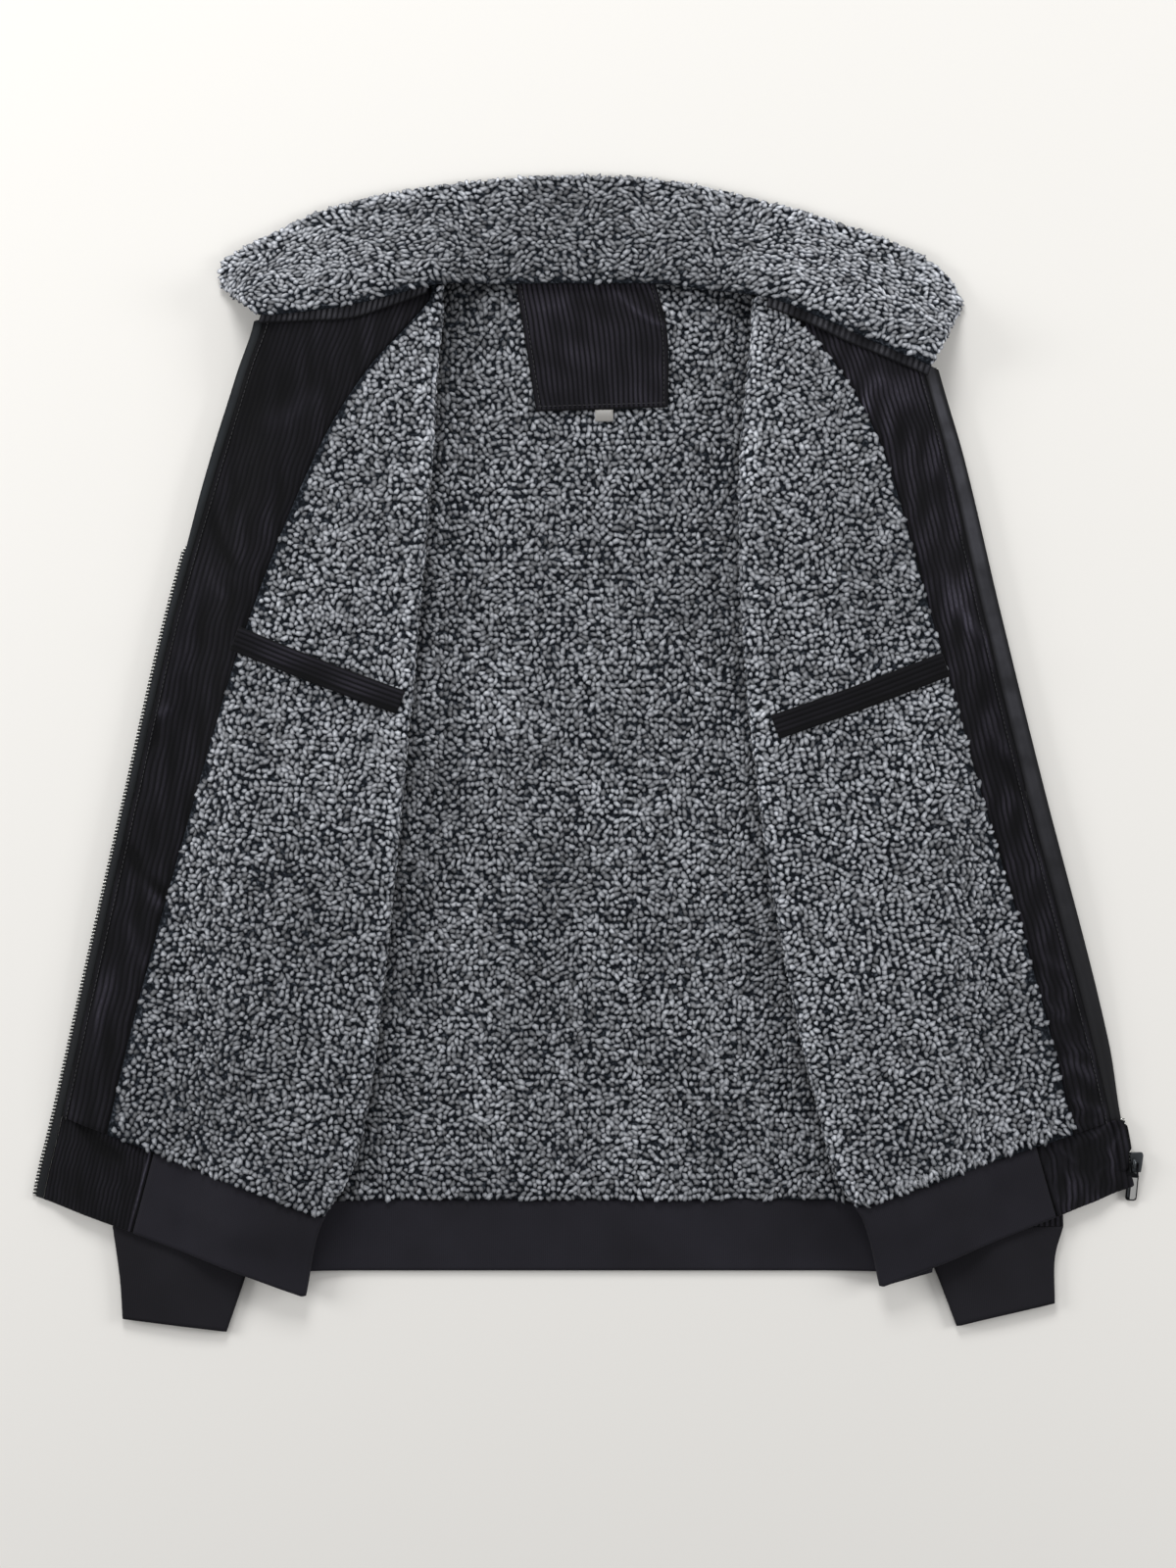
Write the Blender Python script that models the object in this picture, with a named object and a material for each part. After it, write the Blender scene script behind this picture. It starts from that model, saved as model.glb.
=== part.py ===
"""Sherpa lined jacket with corduroy facings, laid open on its back with its lining up.

The origin is on the surface that it lies on, X to the right, Y towards the collar and Z up.
Sizes are in millimetres down to the Sheet class, which turns them into metres.
The words inner and outer say nearer to and farther from the middle of the back.
"""

import math
from collections import namedtuple

import bmesh
import bpy
import numpy as np
from mathutils import Vector, bvhtree

METRES = 0.001

# Cloth thicknesses
SHELL = 1.4
SHERPA = 5.0
CORDUROY = 1.0
BLOCK = 1.6
KNIT = 3.0
TAPE = 1.0
TAB = 0.6

LINING_INSET = 2

# Clearances: between layers, at seams, and inside a folded layer
LAYER_GAP = 0.45
FRONT_GAP = 0.8
SEAM_GAP = 0.3
FOLD_GAP = 0.3

# Corduroy
WALE_PITCH = 3.9
WALE_HEIGHT = 0.9

# Layers of a folded front, as distances from the middle of the fold
SHELL_OUT = FOLD_GAP + SHELL
LINING_IN = SHELL_OUT + FRONT_GAP
LINING_OUT = LINING_IN + SHERPA
BAND_OUT = FOLD_GAP + KNIT
BACK_STACK = SHELL + LAYER_GAP + SHERPA + LAYER_GAP
FOLD_LIFT = BACK_STACK + LINING_OUT
BAND_LIFT = KNIT + LAYER_GAP + BAND_OUT
FACING_IN = SHELL_OUT + FRONT_GAP

# Lengthwise places: back neck, back hem seam and foot of the back hem band
NECK_HALF = 96
NECK_Y = 334
SHOULDER_HALF = 222
SHOULDER_Y = 285
BACK_HEM_Y = -311
BACK_FOOT_Y = -361
SIDE_HEM_Y = -314
HEM_FALL_Y = -326
HEM_FALL = 45

# How cloth comes down beside what it lies on
SLEEVE_RISE = 60
SLEEVE_FALL = 34
SLEEVE_HEAD_FALL = 55
SIDE_FALL = 44
LEVEL_PAST = 3
BACK_REACH = 9
FRONT_REACH = 14
REACH_Y = 22
LOWEST_MIDDLE = 1.0

# Half widths of the body, from the shoulder tip down the armhole and the side seam
BodyRow = namedtuple("BodyRow", "y side")
BODY = [
    BodyRow(300, 222),
    BodyRow(285, 222),
    BodyRow(200, 208),
    BodyRow(110, 231),
    BodyRow(0, 236),
    BodyRow(-150, 238),
    BodyRow(-320, 240),
    BodyRow(-400, 240),
]

# A flattened sleeve and its cuff
SLEEVE_THICK = 7.0
SLEEVE_WALL = 2.2
CUFF_WALL = 2.6
SleeveRow = namedtuple("SleeveRow", "y inner outer")
SLEEVE = [
    SleeveRow(282, 180, 221),
    SleeveRow(240, 160, 235),
    SleeveRow(190, 149, 250),
    SleeveRow(100, 145, 274),
    SleeveRow(0, 152, 297),
    SleeveRow(-150, 188, 320),
    SleeveRow(-250, 213, 330),
    SleeveRow(-330, 229, 333),
]
CuffRow = namedtuple("CuffRow", "outer outer_y inner inner_y")
CUFFS = {
    "l": [CuffRow(333, -330.3, 229, -330.3), CuffRow(328, -366, 240, -366), CuffRow(326, -395, 253, -404)],
    "r": [CuffRow(333, -330.3, 229, -330.3), CuffRow(327, -353, 243, -361), CuffRow(327, -384, 258, -400)],
}

# The two fronts: distances from the middle of the back to their long edges, a row for each height
FrontRow = namedtuple("FrontRow", "y zip_edge facing fold")
FRONT_ROWS = {
    "l": [
        FrontRow(328, 232, 100, 100),
        FrontRow(300, 233, 124, 101),
        FrontRow(265, 246, 155, 104),
        FrontRow(210, 264, 188, 107),
        FrontRow(100, 296, 233, 116),
        FrontRow(-30, 326, 274, 128),
        FrontRow(-170, 358, 313, 142),
        FrontRow(-262, 379, 335, 155),
        FrontRow(-300, 388, 342, 167),
        FrontRow(-330, 392, 348, 186),
        FrontRow(-380, 396, 356, 197),
    ],
    "r": [
        FrontRow(322, 228, 116, 114),
        FrontRow(300, 234, 146, 113),
        FrontRow(265, 245, 176, 110),
        FrontRow(210, 262, 205, 105),
        FrontRow(100, 288, 237, 106),
        FrontRow(-30, 320, 275, 118),
        FrontRow(-170, 357, 316, 141),
        FrontRow(-262, 377.5, 338, 162),
        FrontRow(-300, 383, 343, 173),
        FrontRow(-325, 385, 346, 191),
        FrontRow(-380, 388, 350, 205),
    ],
}

LEAST_LINING = 1.5

# Where each long edge starts at the neck, meets the hem seam and ends at the foot
FrontEnds = namedtuple("FrontEnds", "neck hem foot")
ZIP_ENDS = {"l": FrontEnds(301, -250, -308), "r": FrontEnds(268, -253, -301)}
FOLD_ENDS = {"l": FrontEnds(328, -323, -379), "r": FrontEnds(322, -316, -372)}
SIDE_ENDS = FrontEnds(SHOULDER_Y, SIDE_HEM_Y, BACK_FOOT_Y)

# The corduroy block at the foot of each front, by its inner edge at the hem seam and at the foot
BLOCK_EDGE = {"l": (303, 318), "r": (313, 327)}
TapeWidth = namedtuple("TapeWidth", "body foot")
TAPE_WIDTH = {"l": TapeWidth(8, 8), "r": TapeWidth(13, 8.5)}
CHAIN_WIDTH = 3.0
CHAIN_TUCK = 0.4
CHAIN_CLEAR = 0.1
ZIP_FOOT = {"l": 2, "r": 1.72}
CHAIN_SINK = 0.8
CHAIN_TOP = 0.9
TAPE_FOOT = 1.5
ChainRow = namedtuple("ChainRow", "along shows")
CHAIN_SHOWS = {
    "l": [ChainRow(0, 0.2), ChainRow(0.2, 0.4), ChainRow(0.3, 1), ChainRow(2, 1)],
    "r": [ChainRow(0, 0), ChainRow(0.9, 0), ChainRow(1.0, 0.9), ChainRow(1.5, 1), ChainRow(2, 1)],
}

# Collar, from its left end to its right one
CollarRow = namedtuple("CollarRow", "neck_x neck_y free_x free_y")
CollarPlace = namedtuple("CollarPlace", "at value")
COLLAR = [
    CollarRow(-228, 305, -256, 328),
    CollarRow(-218, 305, -254, 345),
    CollarRow(-182, 309, -222, 363),
    CollarRow(-146, 316, -182, 381),
    CollarRow(-103, 327, -131, 393),
    CollarRow(-50, 329, -60, 402),
    CollarRow(7, 329, 7, 404),
    CollarRow(60, 328, 67, 399),
    CollarRow(124, 317, 132, 384),
    CollarRow(165, 301, 175, 371),
    CollarRow(206, 283, 222, 354),
    CollarRow(228, 274, 250, 335),
    CollarRow(237, 270, 262, 316),
]
COLLAR_HOLD = 0.16
COLLAR_INSET = 3.0
COLLAR_REST = 0.2
COLLAR_REACH = 16
COLLAR_CLEAR = 1.0

# Corduroy stand between the collar and each front
STAND = 1.2
STAND_COLUMNS = 14
STAND_STEPS = (0, 0.5, 1)
STAND_REACH = 7
StandRow = namedtuple("StandRow", "low_x low_y high_x high_y")
STANDS = {
    "l": [
        StandRow(229, 299.5, 226, 309),
        StandRow(196, 301, 194, 313),
        StandRow(164, 303, 161, 318),
        StandRow(136, 312, 133, 325),
        StandRow(112, 321, 110, 331),
    ],
    "r": [
        StandRow(236, 263, 240, 275),
        StandRow(206, 276, 210, 288),
        StandRow(179, 287, 183, 300),
        StandRow(151, 300, 155, 312),
        StandRow(124, 311, 127, 323),
    ],
}

# Neck patch and the tab under it
PatchRow = namedtuple("PatchRow", "left left_y right right_y")
PATCH = [PatchRow(-51, 333, 46, 333), PatchRow(-45, 297, 55, 298), PatchRow(-36, 240, 56, 243)]
PATCH_STEPS = (0, 0.5, 1)
TAB_BOX = (5.0, 17.5, 233.0, 239.6)

# Pocket welts: upper edge from the facing to the fold, and the width of the welt
WeltLine = namedtuple("WeltLine", "start_x start_y end_x end_y")
WELTS = {"l": WeltLine(236, 86, 127, 44), "r": WeltLine(239, 68, 127, 27)}
WELT_WIDTH = 17.0
WELT_COLUMNS = 12

# Zip slider and pull tab
SLIDER_X = 384.0
SLIDER_Y = -285.5
SLIDER_SIZE = (9.6, 13.7)
PLATE = 1.2
PLATE_FOOT = 0.2
CHANNEL_TOP = 4.3
POST_WIDTH = 2.0
CROWN_X = 382.0
CROWN_WIDTH = 2.2
CROWN_THICK = 1.2
CROWN_REACH = 3.6
CROWN_TOP = 10.1
SLIDER_LIFT = 1.6
SLIDER_LIFT_REACH = 34
PULL_AXIS_Y = -286.0
PULL_AXIS_Z = 7.8
PULL_PIN = 1.3
PULL_HOLE = (4.0, 6.6)
PULL_NECK = (6.8, 9.0)
PULL_BODY = (8.0, 27.0)
PULL_THICK = 1.3
PULL_DROOP = math.radians(12)
PULL_ASKEW = math.radians(-4)

# How finely the cloth is divided
BODY_ROWS = 16
NECK_CROWDING = 1.35
BAND_ROWS = 3
SLEEVE_ROWS = 10
CLIMB_STEPS = (-8, 8, 24, 40, 54)
UNDER_COLUMNS = 5
BEYOND_SIDE = (0.12, 0.25, 0.38, 0.52, 0.75, 1.0)
ROLL_STEPS = 5
COLLAR_COLUMNS = 26
COLLAR_STEPS = (0, 0.16, 0.4, 0.65, 0.85, 1)
SIDES = {"l": -1, "r": 1}

Colour = namedtuple("Colour", "red green blue roughness metallic")
CLOTH_COLOURS = {
    "outer_cloth": Colour(0.012, 0.012, 0.014, 0.85, 0),
    "sherpa": Colour(0.16, 0.17, 0.19, 0.95, 0),
    "corduroy": Colour(0.010, 0.010, 0.012, 0.9, 0),
    "knit": Colour(0.016, 0.016, 0.018, 0.9, 0),
    "tape": Colour(0.012, 0.012, 0.013, 0.8, 0),
    "tab_cloth": Colour(0.03, 0.03, 0.03, 0.8, 0),
    "zip_metal": Colour(0.55, 0.55, 0.56, 0.35, 1),
    "slider_metal": Colour(0.12, 0.12, 0.13, 0.35, 1),
}


def smooth(share):
    """0 to 1 with level ends."""
    share = min(1.0, max(0.0, share))
    return share * share * (3 - 2 * share)


def between(first, last, share):
    return first + (last - first) * share


def through(rows, key, value, at):
    """A smooth curve through one column of a table, read against another."""
    rows = sorted(rows, key=lambda row: getattr(row, key))
    places = [getattr(row, key) for row in rows]
    values = [getattr(row, value) for row in rows]
    at = min(places[-1], max(places[0], at))
    index = min(len(places) - 2, max(0, int(np.searchsorted(places, at)) - 1))

    def slope(i):
        low, high = max(0, i - 1), min(len(places) - 1, i + 1)
        return (values[high] - values[low]) / (places[high] - places[low])

    width = places[index + 1] - places[index]
    t = (at - places[index]) / width
    start = values[index] * (2 * t**3 - 3 * t**2 + 1) + width * slope(index) * (t**3 - 2 * t**2 + t)
    return start + values[index + 1] * (3 * t**2 - 2 * t**3) + width * slope(index + 1) * (t**3 - t**2)


def body_shares():
    """Places of the rows from neck to hem seam, closer together towards the neck."""
    return [(i / (BODY_ROWS - 1)) ** NECK_CROWDING for i in range(BODY_ROWS)]


def along_ends(ends, v):
    """Height of a long edge at v: 0 at the neck, 1 at the hem seam and 2 at the foot."""
    if v <= 1:
        return between(ends.neck, ends.hem, v)
    return between(ends.hem, ends.foot, v - 1)


# What the cloth lies on


def sleeve_edges(y):
    if y < SLEEVE[-1].y:
        rows = CUFFS["l"]
        share = min(1.0, (rows[0].inner_y - y) / (rows[0].inner_y - rows[-1].inner_y))
        return between(rows[0].inner, rows[-1].inner, share), rows[0].outer
    return through(SLEEVE, "y", "inner", y), through(SLEEVE, "y", "outer", y)


def sleeve_lift(a, y):
    """Height of the top of a sleeve, run out smoothly on both sides of it and past its head."""
    inner, outer = sleeve_edges(y)
    rise = smooth((a - inner + SLEEVE_RISE) / SLEEVE_RISE)
    fall = 1 - smooth((a - outer - LEVEL_PAST) / SLEEVE_FALL)
    head = 1 - smooth((y - SLEEVE[0].y) / SLEEVE_HEAD_FALL)
    return (SLEEVE_THICK + LAYER_GAP) * rise * fall * head


def resting(a, y, reach=BACK_REACH):
    """The highest support within reach of a point, so that a facet stays above all of it."""
    steps = (-1, 0, 1)
    return max(sleeve_lift(a + i * reach, y + j * REACH_Y) for i in steps for j in steps)


def slider_lift(side, a, y):
    """The slider's lower plate holds the corner of the right front up."""
    if side == "l":
        return 0
    away = math.hypot(a - SLIDER_X, y - SLIDER_Y) / SLIDER_LIFT_REACH
    return SLIDER_LIFT * math.exp(-away * away)


# Building solids


class Sheet:
    """A closed mesh made from grids and strips of points in millimetres."""

    def __init__(self):
        self.mesh = bmesh.new()
        self.points = {}

    def point(self, place):
        key = tuple(round(float(c), 3) for c in place)
        if key not in self.points:
            self.points[key] = self.mesh.verts.new([c * METRES for c in key])
        return self.points[key]

    def face(self, *places):
        corners = []
        for place in places:
            corner = self.point(place)
            if corner not in corners:
                corners.append(corner)
        if len(corners) > 2:
            self.mesh.faces.new(corners)

    def grid(self, rows):
        for low, high in zip(rows, rows[1:]):
            for i in range(len(low) - 1):
                self.face(low[i], low[i + 1], high[i + 1])
                self.face(low[i], high[i + 1], high[i])

    def strip(self, upper, lower):
        """Triangles between two lines that start and end together, whatever their counts of points."""
        upper, lower = without_repeats(upper), without_repeats(lower)
        along_upper, along_lower = shares(upper), shares(lower)
        i = j = 0
        while i < len(upper) - 1 or j < len(lower) - 1:
            if j == len(lower) - 1 or (i < len(upper) - 1 and along_upper[i + 1] <= along_lower[j + 1]):
                self.face(upper[i], upper[i + 1], lower[j])
                i += 1
            else:
                self.face(upper[i], lower[j + 1], lower[j])
                j += 1

    def wall(self, top, bottom):
        """A sheet of cloth between two grids that share their outline, seen from above."""
        self.grid(top)
        self.grid(bottom)
        for upper, lower in zip(edges_of(top), edges_of(bottom)):
            self.strip(upper, lower)

    def finish(self, name, material):
        bmesh.ops.recalc_face_normals(self.mesh, faces=self.mesh.faces)
        data = bpy.data.meshes.new(name)
        self.mesh.to_mesh(data)
        self.mesh.free()
        data.materials.append(material)
        made = bpy.data.objects.new(name, data)
        bpy.context.scene.collection.objects.link(made)
        return made


def without_repeats(line):
    kept = [line[0]]
    for place in line[1:]:
        if any(round(float(p), 3) != round(float(q), 3) for p, q in zip(place, kept[-1])):
            kept.append(place)
    return kept


def shares(line):
    """How far along a line each of its points is, from 0 to 1."""
    steps = [math.dist(p[:2], q[:2]) for p, q in zip(line, line[1:])]
    total = sum(steps) or 1
    return [sum(steps[:i]) / total for i in range(len(line))]


def edges_of(rows):
    return rows[0], rows[-1], [row[0] for row in rows], [row[-1] for row in rows]


def cloth_material(name):
    if name in bpy.data.materials:
        return bpy.data.materials[name]
    colour = CLOTH_COLOURS[name]
    made = bpy.data.materials.new(name)
    made.use_nodes = True
    shader = made.node_tree.nodes["Principled BSDF"]
    shader.inputs["Base Color"].default_value = (colour.red, colour.green, colour.blue, 1)
    shader.inputs["Roughness"].default_value = colour.roughness
    shader.inputs["Metallic"].default_value = colour.metallic
    made.diffuse_color = (colour.red, colour.green, colour.blue, 1)
    return made


def clear_scene():
    for old in list(bpy.data.objects):
        bpy.data.objects.remove(old, do_unlink=True)


# The back


def shoulder_line(a):
    """Height of the neck and shoulder edge of the back at a distance from its middle."""
    if a < NECK_HALF:
        return NECK_Y
    return between(NECK_Y, SHOULDER_Y, (a - NECK_HALF) / (SHOULDER_HALF - NECK_HALF))


def back_columns(y, side):
    """Distances of the columns, close together where the cloth climbs onto the sleeve."""
    inner = sleeve_edges(y)[0]
    climb = [inner - SLEEVE_RISE + step for step in CLIMB_STEPS]
    return [0, climb[0] / 2, *climb, between(climb[-1], side, 0.5), side]


def both_sides(half):
    """Columns of the right half mirrored to the left, from left to right."""
    return [-a for a in reversed(half[1:])] + half


def back_grid(lift, shrink=0.0):
    """The back from neck to hem seam, its ends drawn in by shrink and its points raised by lift."""
    rows = []
    for v in body_shares():
        y_side = between(SHOULDER_Y, BACK_HEM_Y, v)
        half = back_columns(y_side, through(BODY, "y", "side", y_side) - shrink)
        row = []
        for a in both_sides(half):
            y = between(shoulder_line(abs(a)) - shrink, BACK_HEM_Y + SEAM_GAP / 2, v)
            row.append((a, y, resting(abs(a), y) + lift))
        rows.append(row)
    return rows


def make_back():
    shell = Sheet()
    shell.wall(back_grid(SHELL), back_grid(0))
    shell.finish("back_shell", cloth_material("outer_cloth"))
    lining = Sheet()
    foot = SHELL + LAYER_GAP
    lining.wall(back_grid(foot + SHERPA, LINING_INSET), back_grid(foot, LINING_INSET))
    lining.finish("back_lining", cloth_material("sherpa"))


def make_back_band():
    def grid(lift):
        rows = []
        for i in range(BAND_ROWS + 1):
            y = between(BACK_HEM_Y - SEAM_GAP / 2, BACK_FOOT_Y, i / BAND_ROWS)
            half = back_columns(y, through(BODY, "y", "side", y))
            rows.append([(a, y, resting(abs(a), y) + lift) for a in both_sides(half)])
        return rows

    band = Sheet()
    band.wall(grid(KNIT), grid(0))
    band.finish("hem_band_back", cloth_material("knit"))


def patch_row(v, columns):
    """Places across the neck patch at v from its top, 0, to its foot, 1."""
    left_y = between(PATCH[0].left_y, PATCH[-1].left_y, v)
    right_y = between(PATCH[0].right_y, PATCH[-1].right_y, v)
    left = through(PATCH, "left_y", "left", left_y)
    right = through(PATCH, "right_y", "right", right_y)
    return [(between(left, right, u), between(left_y, right_y, u)) for u in columns]


def make_neck_patch():
    count = 2 * round((PATCH[0].right - PATCH[0].left) / WALE_PITCH)
    fine = [i / count for i in range(count + 1)]
    face = BACK_STACK + CORDUROY
    top, bottom = [], []
    for v in PATCH_STEPS:
        places = enumerate(patch_row(v, fine))
        top.append([(x, y, face + WALE_HEIGHT * (i % 2)) for i, (x, y) in places])
        bottom.append([(x, y, BACK_STACK) for x, y in patch_row(v, PATCH_STEPS)])
    patch = Sheet()
    patch.wall(top, bottom)
    patch.finish("neck_patch", cloth_material("corduroy"))


def make_size_tab():
    left, right, low, high = TAB_BOX
    tab = Sheet()
    top = [[(x, y, BACK_STACK + TAB) for x in (left, right)] for y in (high, low)]
    bottom = [[(x, y, BACK_STACK) for x in (left, right)] for y in (high, low)]
    tab.wall(top, bottom)
    tab.finish("size_tab", cloth_material("tab_cloth"))


# The sleeves


def tube_ring(outer, inner, foot, thick, sign):
    """A flattened ring across a sleeve, as (place across, height) pairs, from outer to inner and back."""
    share = (0.0, 0.03, 0.5, 0.97, 1.0)
    heights = (thick / 2, thick, thick, thick, thick / 2)
    lows = (thick / 2, 0, 0, 0, thick / 2)
    ring = []
    for s, h in zip(share, heights):
        ring.append((sign * between(outer[0], inner[0], s), between(outer[1], inner[1], s), foot + h))
    for s, h in list(zip(share, lows))[-2:0:-1]:
        ring.append((sign * between(outer[0], inner[0], s), between(outer[1], inner[1], s), foot + h))
    return ring


def make_tube(name, rows, wall, sign, material):
    """An open flattened tube from rows of (outer, outer_y, inner, inner_y)."""
    outside, inside = [], []
    for outer, outer_y, inner, inner_y in rows:
        outside.append(tube_ring((outer, outer_y), (inner, inner_y), 0, SLEEVE_THICK, sign))
        hollow = ((outer - wall, outer_y), (inner + wall, inner_y))
        inside.append(tube_ring(*hollow, wall, SLEEVE_THICK - 2 * wall, sign))
    tube = Sheet()
    tube.grid([ring + ring[:1] for ring in outside])
    tube.grid([ring + ring[:1] for ring in inside])
    for end in (0, -1):
        tube.grid([outside[end] + outside[end][:1], inside[end] + inside[end][:1]])
    tube.finish(name, material)


def make_sleeve(side):
    rows = []
    for i in range(SLEEVE_ROWS):
        y = between(SLEEVE[0].y, SLEEVE[-1].y, i / (SLEEVE_ROWS - 1))
        inner, outer = through(SLEEVE, "y", "inner", y), through(SLEEVE, "y", "outer", y)
        rows.append((outer, y, inner, y))
    make_tube("sleeve_" + side, rows, SLEEVE_WALL, SIDES[side], cloth_material("outer_cloth"))
    make_tube("cuff_" + side, CUFFS[side], CUFF_WALL, SIDES[side], cloth_material("knit"))


# The fronts


class FrontSection:
    """One section across a front, from the zip edge over the fold to the side seam."""

    def __init__(self, side, v):
        self.side = side
        self.v = v
        rows = FRONT_ROWS[side]
        self.zip_y = along_ends(ZIP_ENDS[side], v)
        self.fold_y = along_ends(FOLD_ENDS[side], v)
        self.side_y = along_ends(SIDE_ENDS, v)
        self.zip_edge = through(rows, "y", "zip_edge", self.zip_y)
        self.fold_edge = through(rows, "y", "fold", self.fold_y)
        self.fold = self.fold_edge + (LINING_OUT if v <= 1 else BAND_OUT)
        self.body_side = through(BODY, "y", "side", self.side_y)
        facing_y = self.fold_y
        for _ in range(4):
            self.facing = through(rows, "y", "facing", facing_y)
            facing_y = self.y_over(self.facing)
        self.facing = max(self.facing, self.fold + LEAST_LINING)
        width = TAPE_WIDTH[side]
        self.tape = self.zip_edge - between(width.body, width.foot, smooth((v - 0.7) / 0.5))
        if v >= 1:
            self.block = between(*BLOCK_EDGE[side], v - 1)
        shares_in = [i / UNDER_COLUMNS for i in range(UNDER_COLUMNS + 1)]
        self.under = [between(self.fold, self.body_side, s) for s in shares_in]
        beyond = [between(self.body_side, self.zip_edge, s) for s in BEYOND_SIDE]
        self.over = self.under + beyond
        self.over_middle = [self.middle(a, self.y_over(a)) for a in self.over]
        self.under_middle = [self.middle(a, self.y_under(a)) for a in self.under]

    def y_over(self, a):
        """Height of the upper leg of the fold, which runs out to the zip."""
        return between(self.fold_y, self.zip_y, (a - self.fold_edge) / (self.zip_edge - self.fold_edge))

    def y_under(self, a):
        """Height of the lower leg of the fold, which runs back to the side seam."""
        return between(self.y_over(self.fold), self.side_y, (a - self.fold) / (self.body_side - self.fold))

    def middle(self, a, y):
        """Height of the middle of the fold, and of the plane that the upper leg rises from."""
        lift = between(FOLD_LIFT, BAND_LIFT, smooth((HEM_FALL_Y - y) / HEM_FALL))
        past = smooth((a - self.body_side - LEVEL_PAST) / SIDE_FALL)
        foot = LOWEST_MIDDLE + slider_lift(self.side, a, y)
        return max(foot, resting(a, y, FRONT_REACH) - FOLD_GAP * past + lift * (1 - past))

    def place(self, a, y, z):
        return (SIDES[self.side] * a, y, z)

    def over_place(self, a, lift):
        """A point of the upper leg, on the straight line between the section's columns."""
        middle = float(np.interp(a, self.over, self.over_middle))
        return self.place(a, self.y_over(a), middle + lift)

    def folded(self, outer_end, lift):
        """A line at one distance from the fold's middle: along the top, round the fold and back under."""
        columns = [min(a, outer_end) for a in reversed(self.over)]
        line = [self.over_place(a, lift) for a in columns]
        for i in range(1, ROLL_STEPS):
            angle = math.pi * (0.5 - i / ROLL_STEPS)
            a = self.fold - lift * math.cos(angle)
            line.append(self.place(a, self.y_over(self.fold), self.under_middle[0] + lift * math.sin(angle)))
        for a, middle in zip(self.under, self.under_middle):
            line.append(self.place(a, self.y_under(a), middle - lift))
        return line


def front_sections(side):
    return [FrontSection(side, v) for v in body_shares()]


def band_sections(side):
    shift = SEAM_GAP / (BACK_HEM_Y - BACK_FOOT_Y)
    return [FrontSection(side, 1 + shift + (1 - shift) * i / BAND_ROWS) for i in range(BAND_ROWS + 1)]


def make_front_cloth(side):
    sections = front_sections(side)
    half = SEAM_GAP / 2
    shell = Sheet()
    shell.wall(
        [s.folded(s.tape - half, SHELL_OUT) for s in sections],
        [s.folded(s.tape - half, FOLD_GAP) for s in sections],
    )
    shell.finish("front_shell_" + side, cloth_material("outer_cloth"))
    lining = Sheet()
    lining.wall(
        [s.folded(s.facing - half, LINING_OUT) for s in sections],
        [s.folded(s.facing - half, LINING_IN) for s in sections],
    )
    lining.finish("front_lining_" + side, cloth_material("sherpa"))
    band_rows = band_sections(side)
    band = Sheet()
    band.wall(
        [s.folded(s.block - half, BAND_OUT) for s in band_rows],
        [s.folded(s.block - half, FOLD_GAP) for s in band_rows],
    )
    band.finish("hem_band_" + side, cloth_material("knit"))


def waled_rows(sections, inner_of, foot, thick):
    """Top and underside of corduroy whose wales run beside the zip and stop at the inner edge."""
    half = SEAM_GAP / 2
    widest = max(s.tape - half - inner_of(s) for s in sections)
    count = math.ceil(widest / (WALE_PITCH / 2))
    top, bottom = [], []
    for s in sections:
        outer, inner = s.tape - half, inner_of(s)
        row = []
        for i in range(count + 1):
            a = max(inner, outer - i * WALE_PITCH / 2)
            ridge = WALE_HEIGHT * (i % 2) if a > inner else 0
            row.append(s.over_place(a, foot + thick + ridge))
        top.append(row)
        columns = [min(outer, max(inner, a)) for a in reversed(s.over)]
        bottom.append([s.over_place(a, foot) for a in columns])
    return top, bottom


def make_corduroy(side):
    half = SEAM_GAP / 2
    facing = Sheet()
    facing.wall(*waled_rows(front_sections(side), lambda s: s.facing + half, FACING_IN, CORDUROY))
    facing.finish("facing_" + side, cloth_material("corduroy"))
    block = Sheet()
    block.wall(*waled_rows(band_sections(side), lambda s: s.block + half, FOLD_GAP, BLOCK))
    block.finish("corner_block_" + side, cloth_material("corduroy"))


def make_zip_side(side):
    """The tape of one half of the zip, and its teeth as a bar that lies under the tape's edge."""
    along = body_shares()
    along += [between(1, ZIP_FOOT[side], (i + 1) / BAND_ROWS) for i in range(BAND_ROWS)]
    steps = [FrontSection(side, v) for v in along]
    tape_top, tape_foot, chain_top, chain_foot = [], [], [], []
    for s in steps:
        shows = through(CHAIN_SHOWS[side], "along", "shows", s.v)
        outer = s.zip_edge - shows * CHAIN_WIDTH
        columns = (s.tape + SEAM_GAP / 2, outer)
        tape_top.append([s.over_place(a, TAPE_FOOT + TAPE) for a in columns])
        tape_foot.append([s.over_place(a, TAPE_FOOT) for a in columns])
        chain_outer = outer + CHAIN_WIDTH if shows > 0.95 else outer - CHAIN_TUCK
        chain = (chain_outer - CHAIN_WIDTH + CHAIN_CLEAR, chain_outer)
        chain_top.append([s.over_place(a, CHAIN_TOP) for a in chain])
        chain_foot.append([s.over_place(a, -CHAIN_SINK) for a in chain])
    tape = Sheet()
    tape.wall(tape_top, tape_foot)
    tape.finish("zip_tape_" + side, cloth_material("tape"))
    chain = Sheet()
    chain.wall(chain_top, chain_foot)
    chain.finish("zip_chain_" + side, cloth_material("zip_metal"))


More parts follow.
